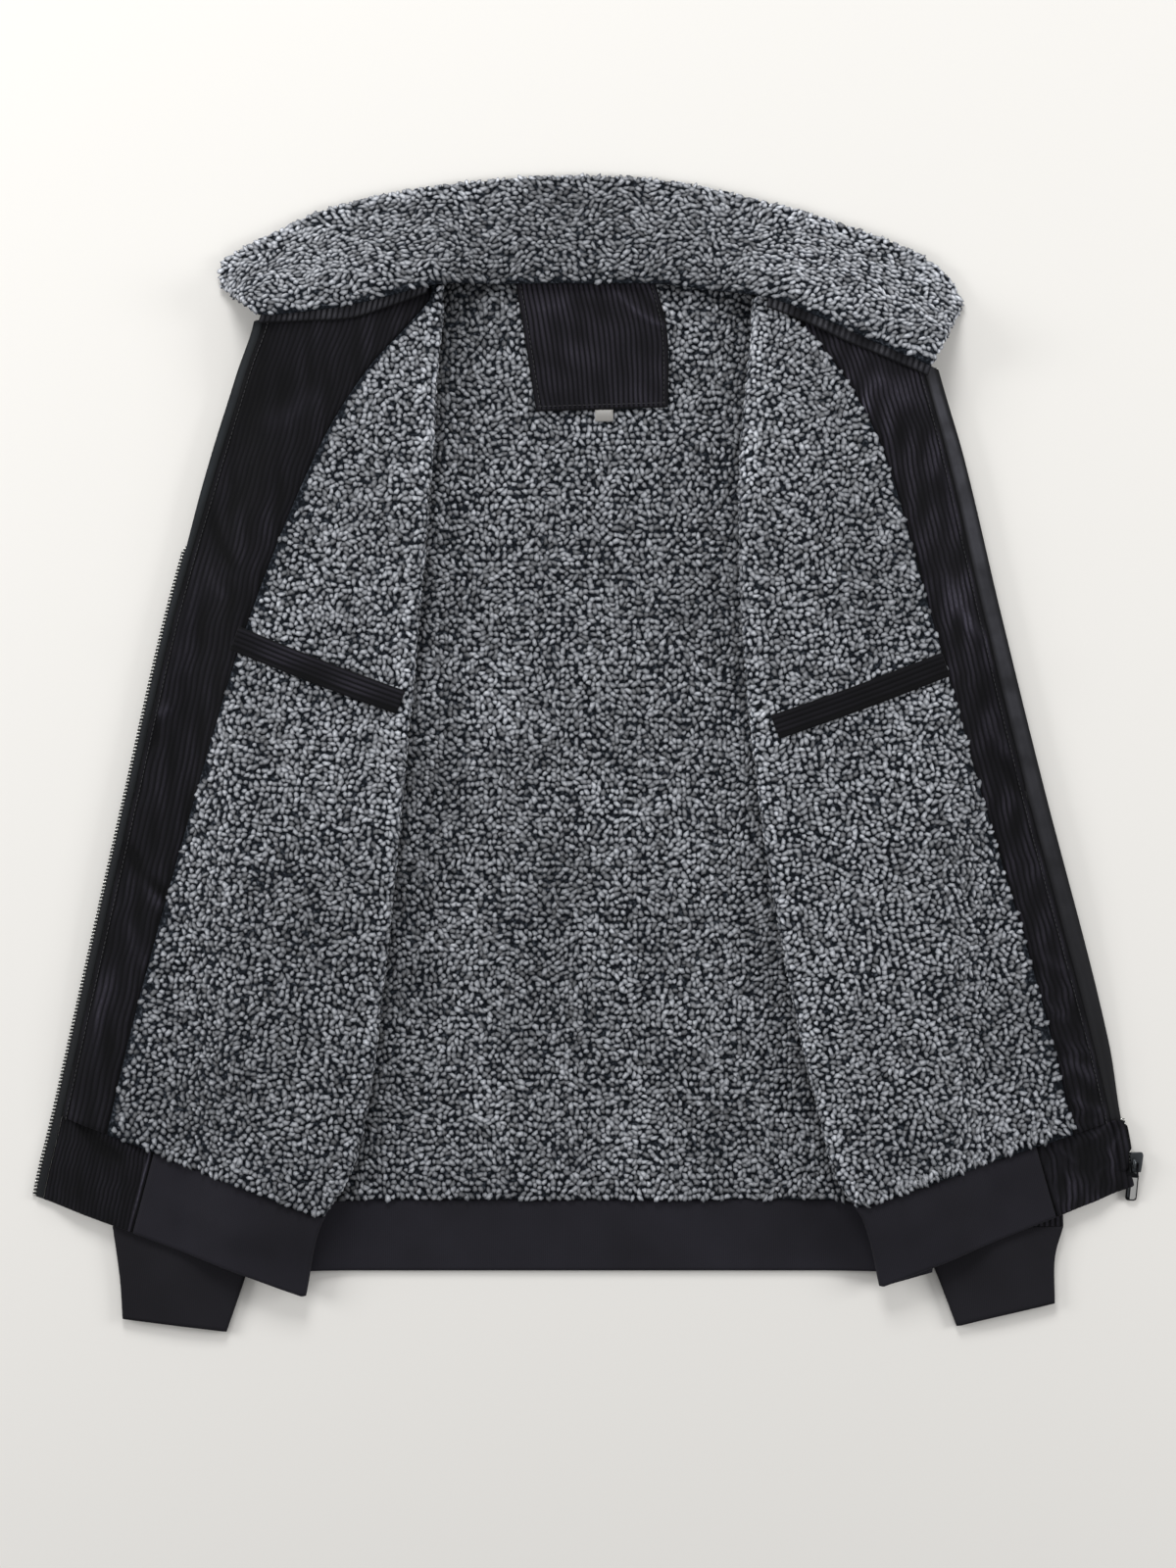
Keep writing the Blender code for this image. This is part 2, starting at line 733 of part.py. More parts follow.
def top_of(names):
    """A function that gives the height of the highest of the named solids near a point."""
    trees = []
    for name in names:
        mesh = bmesh.new()
        mesh.from_mesh(bpy.data.objects[name].data)
        trees.append(bvhtree.BVHTree.FromBMesh(mesh))
        mesh.free()

    def height(x, y, reach):
        found = 0.0
        for i in (-1, 0, 1):
            for j in (-1, 0, 1):
                start = Vector(((x + i * reach) * METRES, (y + j * reach) * METRES, 1))
                for tree in trees:
                    hit = tree.ray_cast(start, Vector((0, 0, -1)))[0]
                    if hit is not None:
                        found = max(found, hit.z / METRES)
        return found

    return height


def make_welt(side):
    """A pocket welt on the lining, its wales running along it."""
    line = WELTS[side]
    top_at = top_of(["front_lining_" + side])
    length = math.hypot(line.end_x - line.start_x, line.end_y - line.start_y)
    along = ((line.end_x - line.start_x) / length, (line.end_y - line.start_y) / length)
    down = (-along[1], along[0])
    wales = 2 * round(WELT_WIDTH / WALE_PITCH)
    across = [WELT_WIDTH * j / wales for j in range(wales + 1)]
    top, bottom = [], []
    for i in range(WELT_COLUMNS + 1):
        centre_x = line.start_x + along[0] * length * i / WELT_COLUMNS
        centre_y = line.start_y + along[1] * length * i / WELT_COLUMNS
        x_mid = SIDES[side] * (centre_x + down[0] * WELT_WIDTH / 2)
        foot = top_at(x_mid, centre_y + down[1] * WELT_WIDTH / 2, WELT_WIDTH / 2) + LAYER_GAP
        places = [(SIDES[side] * (centre_x + down[0] * d), centre_y + down[1] * d) for d in across]
        top.append([(x, y, foot + CORDUROY + WALE_HEIGHT * (j % 2)) for j, (x, y) in enumerate(places)])
        bottom.append([(x, y, foot) for x, y in (places[0], places[-1])])
    welt = Sheet()
    welt.wall(top, bottom)
    welt.finish("welt_" + side, cloth_material("corduroy"))


def make_stand(side):
    """The corduroy stand, a strip on the neck end of the facing and partly under the collar."""
    top_at = top_of([kind + side for kind in ("facing_", "front_lining_", "zip_tape_")])
    rows = STANDS[side]
    top, bottom = [], []
    for i in range(STAND_COLUMNS + 1):
        place = between(rows[0].low_x, rows[-1].low_x, i / STAND_COLUMNS)
        low_y = through(rows, "low_x", "low_y", place)
        high_x = through(rows, "low_x", "high_x", place)
        high_y = through(rows, "low_x", "high_y", place)
        line = [(SIDES[side] * between(place, high_x, t), between(low_y, high_y, t)) for t in STAND_STEPS]
        foot = max(top_at(x, y, STAND_REACH) for x, y in line) + LAYER_GAP
        top.append([(x, y, foot + STAND) for x, y in line])
        bottom.append([(x, y, foot) for x, y in line])
    stand = Sheet()
    stand.wall(top, bottom)
    stand.finish("collar_stand_" + side, cloth_material("corduroy"))


# The collar


def collar_grid(rest):
    """Rows from the neck seam to the free edge, which comes down onto the surface."""
    last = len(COLLAR) - 1

    def column(name, at):
        index = min(last - 1, int(at))
        rows = [CollarPlace(i, getattr(row, name)) for i, row in enumerate(COLLAR)]
        return through(rows[max(0, index - 1):index + 3], "at", "value", at)

    places = []
    for i in range(COLLAR_COLUMNS + 1):
        at = last * i / COLLAR_COLUMNS
        neck = (column("neck_x", at), column("neck_y", at))
        places.append((neck, (column("free_x", at), column("free_y", at)), rest(*neck)))
    grid = []
    for w in COLLAR_STEPS:
        line = []
        down = smooth((w - COLLAR_HOLD) / (1 - COLLAR_HOLD))
        for neck, free, held in places:
            x, y = between(neck[0], free[0], w), between(neck[1], free[1], w)
            line.append((x, y, between(held, COLLAR_REST, down)))
        grid.append(line)
    return grid


def raised(grid, lift):
    return [[(x, y, z + lift) for x, y, z in row] for row in grid]


def drawn_in(grid, amount):
    """The grid with its border points moved towards their neighbours, on the same facets."""
    grid = [list(row) for row in grid]

    def towards(place, other):
        share = amount / math.dist(place, other)
        return tuple(between(a, b, share) for a, b in zip(place, other))

    for row in grid:
        row[0], row[-1] = towards(row[0], row[1]), towards(row[-1], row[-2])
    grid[0] = [towards(p, q) for p, q in zip(grid[0], grid[1])]
    grid[-1] = [towards(p, q) for p, q in zip(grid[-1], grid[-2])]
    return grid


def make_collar():
    names = ["back_lining", "neck_patch"]
    for side in SIDES:
        names += [kind + side for kind in ("front_lining_", "facing_", "collar_stand_", "zip_tape_")]
    top_at = top_of(names)

    def rest(x, y):
        return top_at(x, y + COLLAR_REACH / 4, COLLAR_REACH) + COLLAR_CLEAR

    grid = collar_grid(rest)
    narrow = drawn_in(grid, COLLAR_INSET)
    under = Sheet()
    under.wall(raised(narrow, SHELL), narrow)
    under.finish("under_collar", cloth_material("outer_cloth"))
    foot = SHELL + LAYER_GAP
    sherpa = Sheet()
    sherpa.wall(raised(grid, foot + SHERPA), raised(grid, foot))
    sherpa.finish("top_collar", cloth_material("sherpa"))


# The slider and the pull tab


def box(name, low, high):
    """A closed box between two corners, in millimetres."""
    mesh = bmesh.new()
    bmesh.ops.create_cube(mesh, size=1)
    for vert in mesh.verts:
        vert.co = [between(a, b, c + 0.5) * METRES for a, b, c in zip(low, high, vert.co)]
    data = bpy.data.meshes.new(name)
    mesh.to_mesh(data)
    mesh.free()
    made = bpy.data.objects.new(name, data)
    bpy.context.scene.collection.objects.link(made)
    return made


def joined(base, others):
    """Boolean unions of helper solids into a base, which take the helpers out of the scene."""
    for other in others:
        union = base.modifiers.new("join_" + other.name, "BOOLEAN")
        union.operation = "UNION"
        union.solver = "EXACT"
        union.object = other
        other.hide_render = True
        other.display_type = "WIRE"
    return base


def make_slider():
    half_x, half_y = SLIDER_SIZE[0] / 2, SLIDER_SIZE[1] / 2
    low, high = (SLIDER_X - half_x, SLIDER_Y - half_y), (SLIDER_X + half_x, SLIDER_Y + half_y)
    slider = box("zip_slider", (*low, PLATE_FOOT), (*high, PLATE_FOOT + PLATE))
    top_plate = box("slider_top_plate", (*low, CHANNEL_TOP), (*high, CHANNEL_TOP + PLATE))
    post = box(
        "slider_post",
        (SLIDER_X, low[1] + 1, PLATE_FOOT + PLATE / 2),
        (SLIDER_X + POST_WIDTH, high[1] - 1, CHANNEL_TOP + PLATE / 2),
    )
    crown = []
    for name, y in (("slider_crown_back", CROWN_REACH), ("slider_crown_front", -CROWN_REACH)):
        y += PULL_AXIS_Y
        crown.append(box(
            name,
            (CROWN_X - CROWN_WIDTH / 2, y - CROWN_THICK / 2, CHANNEL_TOP + PLATE / 2),
            (CROWN_X + CROWN_WIDTH / 2, y + CROWN_THICK / 2, CROWN_TOP),
        ))
    bar = box(
        "slider_crown_bar",
        (CROWN_X - CROWN_WIDTH / 2, PULL_AXIS_Y - CROWN_REACH, CROWN_TOP - CROWN_THICK),
        (CROWN_X + CROWN_WIDTH / 2, PULL_AXIS_Y + CROWN_REACH, CROWN_TOP),
    )
    joined(slider, [top_plate, post, *crown, bar])
    slider.data.materials.append(cloth_material("slider_metal"))


def make_pull():
    """A flat tab with a slot at its head: the bar above the slot turns under the slider's crown."""
    hole_half, hole_end = PULL_HOLE[0] / 2, PULL_HOLE[1]
    neck_half, neck_end = PULL_NECK[0] / 2, PULL_NECK[1]
    body_half, body_end = PULL_BODY[0] / 2, PULL_BODY[1]
    pin = PULL_PIN / 2
    thick = PULL_THICK / 2
    stations = [(-pin, neck_half), (pin, neck_half), (hole_end, neck_half), (neck_end, body_half),
                (body_end - 1.5, body_half), (body_end, body_half - 1.5)]
    pull = Sheet()
    for z in (-thick, thick):
        for (y0, w0), (y1, w1) in zip(stations, stations[1:]):
            if (y0, y1) == (pin, hole_end):
                for sign in (-1, 1):
                    pull.face((sign * w0, -y0, z), (sign * hole_half, -y0, z),
                              (sign * hole_half, -y1, z), (sign * w1, -y1, z))
                continue
            inner = [hole_half] if y1 == pin or y0 == hole_end else []
            first = [-w0, *(-h for h in inner if y0 == hole_end), *(h for h in inner if y0 == hole_end), w0]
            last = [w1, *(h for h in inner if y1 == pin), *(-h for h in inner if y1 == pin), -w1]
            pull.face(*[(x, -y0, z) for x in first], *[(x, -y1, z) for x in last])
    outline = [(w, y) for y, w in stations] + [(-w, y) for y, w in reversed(stations)]
    slot = [(hole_half, pin), (hole_half, hole_end), (-hole_half, hole_end), (-hole_half, pin)]
    for loop in (outline, slot):
        for (x0, y0), (x1, y1) in zip(loop, loop[1:] + loop[:1]):
            pull.face((x0, -y0, -thick), (x1, -y1, -thick), (x1, -y1, thick), (x0, -y0, thick))
    made = pull.finish("zip_pull", cloth_material("zip_metal"))
    made.location = (CROWN_X * METRES, PULL_AXIS_Y * METRES, PULL_AXIS_Z * METRES)
    made.rotation_euler = (PULL_DROOP, 0, PULL_ASKEW)


def main():
    clear_scene()
    make_back()
    make_back_band()
    make_neck_patch()
    make_size_tab()
    for side in SIDES:
        make_sleeve(side)
        make_front_cloth(side)
        make_corduroy(side)
        make_zip_side(side)
        make_welt(side)
        make_stand(side)
    make_collar()
    make_slider()
    make_pull()


main()
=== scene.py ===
import math
from collections import namedtuple
from functools import partial

import bmesh
import bpy
import numpy as np
from mathutils import Euler, Matrix, Vector, bvhtree


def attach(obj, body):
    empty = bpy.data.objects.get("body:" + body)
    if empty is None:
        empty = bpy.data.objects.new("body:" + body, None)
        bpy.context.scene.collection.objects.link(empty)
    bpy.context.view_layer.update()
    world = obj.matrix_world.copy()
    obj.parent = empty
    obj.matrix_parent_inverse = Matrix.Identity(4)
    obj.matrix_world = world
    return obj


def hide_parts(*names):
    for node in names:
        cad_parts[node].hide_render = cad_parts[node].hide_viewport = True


# A fleece lined corduroy jacket that lies open on its back, with its lining up.
# Sizes are in millimetres and become metres where a mesh is made.
# a is the distance from the middle of the back: x is -a on the left front and a on the right one.

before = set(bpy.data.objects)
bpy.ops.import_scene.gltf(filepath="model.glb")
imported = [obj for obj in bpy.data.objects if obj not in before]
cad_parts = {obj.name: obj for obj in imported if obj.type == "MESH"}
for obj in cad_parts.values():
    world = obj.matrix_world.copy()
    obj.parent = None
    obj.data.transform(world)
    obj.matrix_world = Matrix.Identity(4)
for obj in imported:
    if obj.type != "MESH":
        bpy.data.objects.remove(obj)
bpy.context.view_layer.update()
jacketBody, pullBody = "jacket", "pull"
print("frame loaded")

metre = 0.001
sides = {"l": -1, "r": 1}


def table(names, rows):  # rows whose numbers have names
    if isinstance(rows, dict):
        return {key: table(names, part) for key, part in rows.items()}
    Row = namedtuple("Row", names)
    return [Row(*row) for row in rows]


# Thickness of each cloth, and the clearances between layers, at seams and inside a folded layer
cloth = {
    "shell": 1.4,
    "pile": 5.0,
    "corduroy": 1.0,
    "block": 1.6,
    "knit": 3.0,
    "tape": 1.0,
    "layerGap": 0.45,
    "frontGap": 0.8,
    "seamGap": 0.3,
    "foldGap": 0.3,
}
halfSeam = cloth["seamGap"] / 2
shellOut = cloth["foldGap"] + cloth["shell"]
liningIn = shellOut + cloth["frontGap"]
liningOut = liningIn + cloth["pile"]
bandOut = cloth["foldGap"] + cloth["knit"]
liningFoot = cloth["shell"] + cloth["layerGap"]
backStack = liningFoot + cloth["pile"] + cloth["layerGap"]
foldLift = backStack + liningOut
bandLift = cloth["knit"] + cloth["layerGap"] + bandOut

# How far each cloth is raised and let down over what it lies on
drape = {
    "sleeveRise": 60,
    "sleeveFall": 34,
    "sleeveHeadFall": 55,
    "sideFall": 44,
    "levelPast": 3,
    "backReach": 9,
    "frontReach": 14,
    "reachY": 22,
    "lowestMiddle": 1.0,
    "hemFallY": -326,
    "hemFall": 45,
    "sliderLift": 1.6,
    "sliderLiftReach": 34,
}

# Lengthwise places of the back
back = {
    "neckHalf": 96,
    "neckY": 334,
    "shoulderHalf": 222,
    "shoulderY": 285,
    "hemY": -311,
    "footY": -361,
    "sideHemY": -314,
    "liningInset": 2,
    "foldShade": 0.32,
    "foldShadeReach": 6.5,
    "neckShade": 0.38,
    "neckShadeRight": 0.55,
    "neckShadeReach": 24,
    "neckShadeY": 170,
    "neckShadeRise": 110,
    "seamShade": 0.35,
    "seamShadeReach": 12,
    "creaseLight": 0.07,
    "light": 0.95,
    "pilePastFold": 14,
    "pileFade": 4,
    "wave": 0.7,
    "waveMm": 75,
    "waveSeed": 11,
    "waveRoom": 1.0,
    "shellGrid": (30, 60),
    "liningGrid": (60, 80),
    "pileGrid": (130, 150),
    "bandGrid": (22, 110),
}

bodyRows = table("y side", [
    (300, 222),
    (285, 222),
    (200, 208),
    (110, 231),
    (0, 236),
    (-150, 238),
    (-320, 240),
    (-400, 240),
])

# Flattened sleeves, by their inner and outer edges
sleeveRows = table("y inner outer", [
    (282, 180, 221),
    (240, 160, 235),
    (190, 149, 250),
    (100, 145, 274),
    (0, 152, 297),
    (-150, 188, 320),
    (-250, 213, 330),
    (-330, 229, 333),
])
cuffRows = table("at outer outerY inner innerY", {
    "l": [
        (0, 333, -330.3, 229, -330.3),
        (1, 328, -366, 240, -366),
        (2, 326, -395, 253, -404),
    ],
    "r": [
        (0, 333, -330.3, 229, -330.3),
        (1, 327, -353, 243, -361),
        (2, 327, -384, 258, -400),
    ],
})
sleeve = {
    "thick": 7.0,
    "wall": 2.2,
    "cuffWall": 2.6,
    "rows": 30,
    "cuffRows": 24,
    "ring": 32,
    "flatness": 9,
    "sink": 0.35,
}

# The fronts: distances from the middle of the back to their long edges
frontRows = table("y zipEdge facing fold", {
    "l": [
        (328, 232, 100, 100),
        (300, 233, 124, 101),
        (265, 246, 155, 104),
        (210, 264, 188, 107),
        (100, 296, 233, 116),
        (-30, 326, 274, 128),
        (-170, 358, 313, 142),
        (-262, 379, 335, 155),
        (-300, 388, 342, 167),
        (-330, 392, 348, 186),
        (-380, 396, 356, 197),
    ],
    "r": [
        (322, 228, 116, 114),
        (300, 234, 146, 113),
        (265, 245, 176, 110),
        (210, 262, 205, 105),
        (100, 288, 237, 106),
        (-30, 320, 275, 118),
        (-170, 357, 316, 141),
        (-262, 377.5, 338, 162),
        (-300, 383, 343, 173),
        (-325, 385, 346, 191),
        (-380, 388, 350, 205),
    ],
})
leastLining = 1.5

# Where each long edge starts at the neck, meets the hem seam and ends at the foot
Ends = namedtuple("Ends", "neck hem foot")
zipEnds = {"l": Ends(301, -250, -308), "r": Ends(268, -253, -301)}
foldEnds = {"l": Ends(328, -323, -379), "r": Ends(322, -316, -372)}
sideEnds = Ends(back["shoulderY"], back["sideHemY"], back["footY"])
blockEdge = {"l": (303, 318), "r": (313, 327)}
TapeWidth = namedtuple("TapeWidth", "body foot")
tapeWidth = {"l": TapeWidth(8, 8), "r": TapeWidth(13, 8.5)}
tapeNarrows = {"start": 0.7, "over": 0.5}

# Soft creases: a line from start to end, its reach to each side and its height, which is below 0 for a trough
creases = table("startX startY endX endY reach rise", {
    "frontPile": [
        (-150, 250, -205, 110, 16, 1.3),
        (-235, 60, -190, -90, 20, -1.1),
        (-170, -40, -215, -190, 17, 1.2),
        (-290, -120, -250, -250, 15, -1.0),
        (-200, -230, -240, -310, 13, 0.9),
        (150, 235, 200, 90, 18, -1.0),
        (175, 60, 215, -80, 16, 1.2),
        (260, -20, 235, -160, 19, -1.2),
        (200, -150, 260, -260, 15, 1.1),
        (300, -140, 285, -230, 12, 0.8),
    ],
    "backPile": [
        (-40, 190, -70, 20, 18, 1.2),
        (25, 150, 60, -20, 20, -1.0),
        (-15, -40, 10, -250, 13, -1.5),
        (30, -60, 55, -300, 12, 1.3),
        (-80, -60, -60, -280, 15, 1.1),
        (95, 60, 80, -140, 13, 0.9),
        (90, -180, 120, -300, 12, -1.2),
        (-30, -210, -50, -305, 9, -1.1),
        (0, 60, 15, -30, 14, 0.8),
    ],
    "facing": [
        (250, 122, 279, 79, 5.5, 1.6),
        (277, 27, 301, -5, 5.0, 1.5),
        (288, -1, 309, -32, 4.5, -1.0),
        (262, 160, 240, 205, 7, 1.0),
        (226, 245, 195, 262, 7, 1.0),
        (318, -70, 340, -120, 6, 1.1),
        (333, -200, 352, -228, 5, 1.3),
        (340, -222, 362, -246, 4, -0.9),
        (-320, -66, -291, -102, 4.5, -2.0),
        (-312, -80, -288, -114, 4.5, 1.5),
        (-300, 28, -292, 34, 4, 1.3),
        (-307, 3, -300, 26, 3, -1.3),
        (-262, 168, -244, 128, 4, -1.2),
        (-296, 33, -306, 5, 5, 1.2),
        (-270, 120, -285, 60, 8, 1.0),
        (-225, 230, -190, 250, 8, 1.1),
        (-330, -150, -345, -215, 6, 1.0),
        (-250, 170, -232, 205, 6, -0.8),
        (-262, 128, -254, 108, 4, 0.8),
        (-318, -118, -306, -150, 5, 1.2),
        (322, -175, 338, -186, 3.5, 1.1),
        (330, -205, 349, -214, 3.5, -1.1),
        (318, -140, 334, -150, 4, 1.0),
        (338, -240, 360, -248, 3, 1.2),
    ],
    "patch": [
        (22, 321, 58, 298, 2.6, 1.9),
        (34, 325, 62, 306, 4, -1.6),
        (-40, 312, -12, 318, 5, 0.6),
    ],
    "band": [
        (-300, -300, -230, -338, 11, 0.9),
        (-280, -330, -215, -350, 9, -0.7),
        (300, -290, 235, -322, 10, 0.9),
        (275, -318, 225, -342, 9, -0.6),
    ],
    "block": [
        (-356, -254, -328, -282, 4.5, -1.9),
        (-346, -249, -318, -276, 3, 1.1),
        (325, -268, 341, -286, 1.8, 1.1),
        (330, -271, 338, -303, 1.7, 1.0),
        (341, -267, 344, -304, 1.8, 0.9),
        (371, -266, 366, -293, 2.0, 1.2),
        (360, -289, 353, -304, 1.8, 1.0),
        (351, -269, 363, -257, 2.0, 1.1),
        (341, -258, 354, -259, 2.4, -1.2),
        (349, -272, 347, -292, 3.0, -0.8),
    ],
    "collar": [
        (-215, 320, -150, 350, 12, 1.2),
        (-110, 345, -70, 395, 13, -1.0),
        (-40, 340, 10, 395, 16, 0.9),
        (60, 335, 85, 385, 13, -1.0),
        (120, 325, 165, 365, 12, 1.1),
        (190, 300, 240, 340, 11, -0.9),
    ],
})


def smooth(share):  # 0 to 1 with level ends
    share = np.clip(share, 0, 1)
    return share * share * (3 - 2 * share)


def between(first, last, share):
    return first + (last - first) * share


def bell(distance, reach):  # 1 at no distance, and softly down to nothing past the reach
    return np.exp(-((distance / reach) ** 2))


def downSteps(first, last, count):  # evenly spaced values, one for each row
    return np.linspace(first, last, count).reshape(-1, 1)


def acrossSteps(first, last, count):  # and one for each column
    return np.linspace(first, last, count).reshape(1, -1)


def gridOf(*parts):  # numbers, rows and columns brought together as one grid of places
    return np.stack(np.broadcast_arrays(*parts), axis=-1)


def through(rows, key, value, at):
    # a smooth curve through one column of a table, read against another
    rows = sorted(rows, key=lambda row: getattr(row, key))
    places = np.array([getattr(row, key) for row in rows], float)
    values = np.array([getattr(row, value) for row in rows], float)
    low = np.maximum(np.arange(len(rows)) - 1, 0)
    high = np.minimum(np.arange(len(rows)) + 1, len(rows) - 1)
    slopes = (values[high] - values[low]) / (places[high] - places[low])
    at = np.clip(at, places[0], places[-1])
    i = np.clip(np.searchsorted(places, at) - 1, 0, len(rows) - 2)
    width = places[i + 1] - places[i]
    t = (at - places[i]) / width
    start = values[i] * (2 * t**3 - 3 * t**2 + 1) + width * slopes[i] * (t**3 - 2 * t**2 + t)
    return start + values[i + 1] * (3 * t**2 - 2 * t**3) + width * slopes[i + 1] * (t**3 - t**2)


def alongEnds(ends, v):  # v is 0 at the neck, 1 at the hem seam and 2 at the foot
    return np.where(v <= 1, between(ends.neck, ends.hem, v), between(ends.hem, ends.foot, v - 1))


def courseOf(line):  # length and direction of a line
    length = math.hypot(line.endX - line.startX, line.endY - line.startY)
    return length, (line.endX - line.startX) / length, (line.endY - line.startY) / length


# A crease bows a little to one side, and fades from inside its ends to past them
creaseForm = {"bow": 0.08, "past": 0.25, "fade": 0.45}


def creaseRise(names, x, y):
    # the height that the named creases add at each point
    rise = np.zeros(np.broadcast(x, y).shape)
    past, fade = creaseForm["past"], creaseForm["fade"]
    for crease in [crease for name in names for crease in creases[name]]:
        length, alongX, alongY = courseOf(crease)
        along = ((x - crease.startX) * alongX + (y - crease.startY) * alongY) / length
        bow = creaseForm["bow"] * length * np.sin(np.pi * np.clip(along, 0, 1))
        across = (y - crease.startY) * alongX - (x - crease.startX) * alongY + bow
        ends = smooth((along + past) / fade) * smooth((1 + past - along) / fade)
        rise = rise + crease.rise * ends * bell(across, crease.reach)
    return rise


def softWaves(x, y, length, seed):
    # uneven waves of about one length, between about -1 and 1
    random = np.random.default_rng(seed)
    total = 0
    for _ in range(5):
        turn, phase = random.uniform(0, math.tau, 2)
        stretch = random.uniform(0.7, 1.5)
        along = x * math.cos(turn) + y * math.sin(turn)
        total = total + np.sin(along * math.tau / (length * stretch) + phase)
    return total / 3


# What the cloth lies on


def sleeveEdges(y):
    first, last = cuffRows["l"][0], cuffRows["l"][-1]
    share = np.clip((first.innerY - y) / (first.innerY - last.innerY), 0, 1)
    below = y < sleeveRows[-1].y
    inner = np.where(below, between(first.inner, last.inner, share), through(sleeveRows, "y", "inner", y))
    return inner, np.where(below, first.outer, through(sleeveRows, "y", "outer", y))


def sleeveLift(a, y):
    inner, outer = sleeveEdges(y)
    rise = smooth((a - inner + drape["sleeveRise"]) / drape["sleeveRise"])
    fall = 1 - smooth((a - outer - drape["levelPast"]) / drape["sleeveFall"])
    head = 1 - smooth((y - sleeveRows[0].y) / drape["sleeveHeadFall"])
    return (sleeve["thick"] + cloth["layerGap"]) * rise * fall * head


def around(x, y, reachX, reachY):  # a point and eight round it
    return [(x + i * reachX, y + j * reachY) for i in (-1, 0, 1) for j in (-1, 0, 1)]


def resting(a, y, reach):
    # the highest support within reach of a point
    highest = sleeveLift(a, y)
    for near in around(a, y, reach, drape["reachY"]):
        highest = np.maximum(highest, sleeveLift(*near))
    return highest


# Making meshes


def linked(name, data):
    made = bpy.data.objects.new(name, data)
    bpy.context.scene.collection.objects.link(made)
    return made


def asMesh(name, places, faces, material, uv=None):
    # places in millimetres; uv holds a pair for each place, in metres
    mesh = bpy.data.meshes.new(name)
    mesh.from_pydata(np.asarray(places, float).reshape(-1, 3) * metre, [], faces)
    if uv is not None:
        layer = mesh.uv_layers.new(name="cut")
        corners = np.empty(len(mesh.loops), np.int32)
        mesh.loops.foreach_get("vertex_index", corners)
        layer.data.foreach_set("uv", np.asarray(uv, float).reshape(-1, 2)[corners].ravel())
    mesh.materials.append(material)
    mesh.shade_smooth()
    return linked(name, mesh)


def mark(made, name, values):
    # one number for each place of a mesh, for materials and node trees to read
    values = np.ravel(values).astype(np.float32)
    made.data.attributes.new(name, "FLOAT", "POINT").data.foreach_set("value", values)


def quads(start, rows, columns, closed=False):
    # the faces of a grid whose places start at one number
    index = start + np.arange(rows * columns).reshape(rows, columns)
    if closed:
        index = np.concatenate([index, index[:, :1]], axis=1)
    low, right = index[:-1, :-1], index[:-1, 1:]
    return np.stack([low, right, index[1:, 1:], index[1:, :-1]], axis=-1).reshape(-1, 4).tolist()


def borderOf(grid):
    # the places round a grid, once round
    return np.concatenate([grid[0, :-1], grid[:-1, -1], grid[-1, :0:-1], grid[:0:-1, 0]])


def drawnIn(grid, amount):
    # the grid with its border moved in by an amount
    grid = np.array(grid, float)

    def towards(place, other):
        gap = np.linalg.norm(other - place, axis=-1, keepdims=True)
        return place + (other - place) * np.minimum(0.9, amount / np.maximum(gap, 0.001))

    grid[:, 0], grid[:, -1] = towards(grid[:, 0], grid[:, 1]), towards(grid[:, -1], grid[:, -2])
    grid[0], grid[-1] = towards(grid[0], grid[1]), towards(grid[-1], grid[-2])
    return grid


def awayFrom(grid):
    # level directions outwards from the border of a grid, once round
    away = borderOf(grid) - borderOf(drawnIn(grid, 1.0))
    away[:, 2] = 0
    return away / np.maximum(np.linalg.norm(away, axis=1, keepdims=True), 0.001)


def rowLengths(grid, axis, **rest):
    return np.linalg.norm(np.diff(grid, axis=axis, **rest), axis=2)


def gridUv(grid):
    # the length along the rows and down the columns, in metres, so that a weave follows the cloth
    across, along = np.zeros((2, *grid.shape[:2]))
    across[:, 1:] = np.cumsum(rowLengths(grid, 1), axis=1)
    along[1:] = np.cumsum(rowLengths(grid, 0), axis=0)
    return gridOf(across, along) * metre


edgeBulge = 0.16  # how far a cloth's edge stands out, as a share of its thickness


def clothWall(name, top, low, look, uv=None, crest=None):
    # cloth between two grids of the same shape, with a rounded edge all round
    # crest says how high a wale stands at each place of the top, with painted light and shade of creases and
    # edges added to it
    rows, columns = top.shape[:2]
    count = rows * columns
    if uv is None:
        uv = top[..., :2] * metre
    ring = borderOf(np.arange(count).reshape(rows, columns))
    thick = np.linalg.norm(borderOf(top) - borderOf(low), axis=1, keepdims=True)
    middle = (borderOf(top) + borderOf(low)) / 2 + awayFrom(top) * thick * edgeBulge
    faces = quads(0, rows, columns) + quads(count, rows, columns)
    for i in range(len(ring)):
        j = (i + 1) % len(ring)
        faces.append([ring[i], ring[j], 2 * count + j, 2 * count + i])
        faces.append([2 * count + i, 2 * count + j, count + ring[j], count + ring[i]])
    places = np.concatenate([top.reshape(-1, 3), low.reshape(-1, 3), middle])
    uvs = np.concatenate([uv.reshape(-1, 2)] * 2 + [borderOf(uv)])
    made = asMesh(name, places, faces, materials[look], uvs)
    if crest is not None:
        mark(made, "crest", np.concatenate([np.ravel(crest), np.zeros(count + len(ring))]))
    return cleaned(made)


def cleaned(made):
    # doubles merged and faces turned outwards
    mesh = bmesh.new()
    mesh.from_mesh(made.data)
    bmesh.ops.remove_doubles(mesh, verts=mesh.verts, dist=0.000002)
    bmesh.ops.dissolve_degenerate(mesh, edges=mesh.edges, dist=0.000002)
    bmesh.ops.recalc_face_normals(mesh, faces=mesh.faces)
    mesh.to_mesh(made.data)
    mesh.free()
    made.data.shade_smooth()
    return made


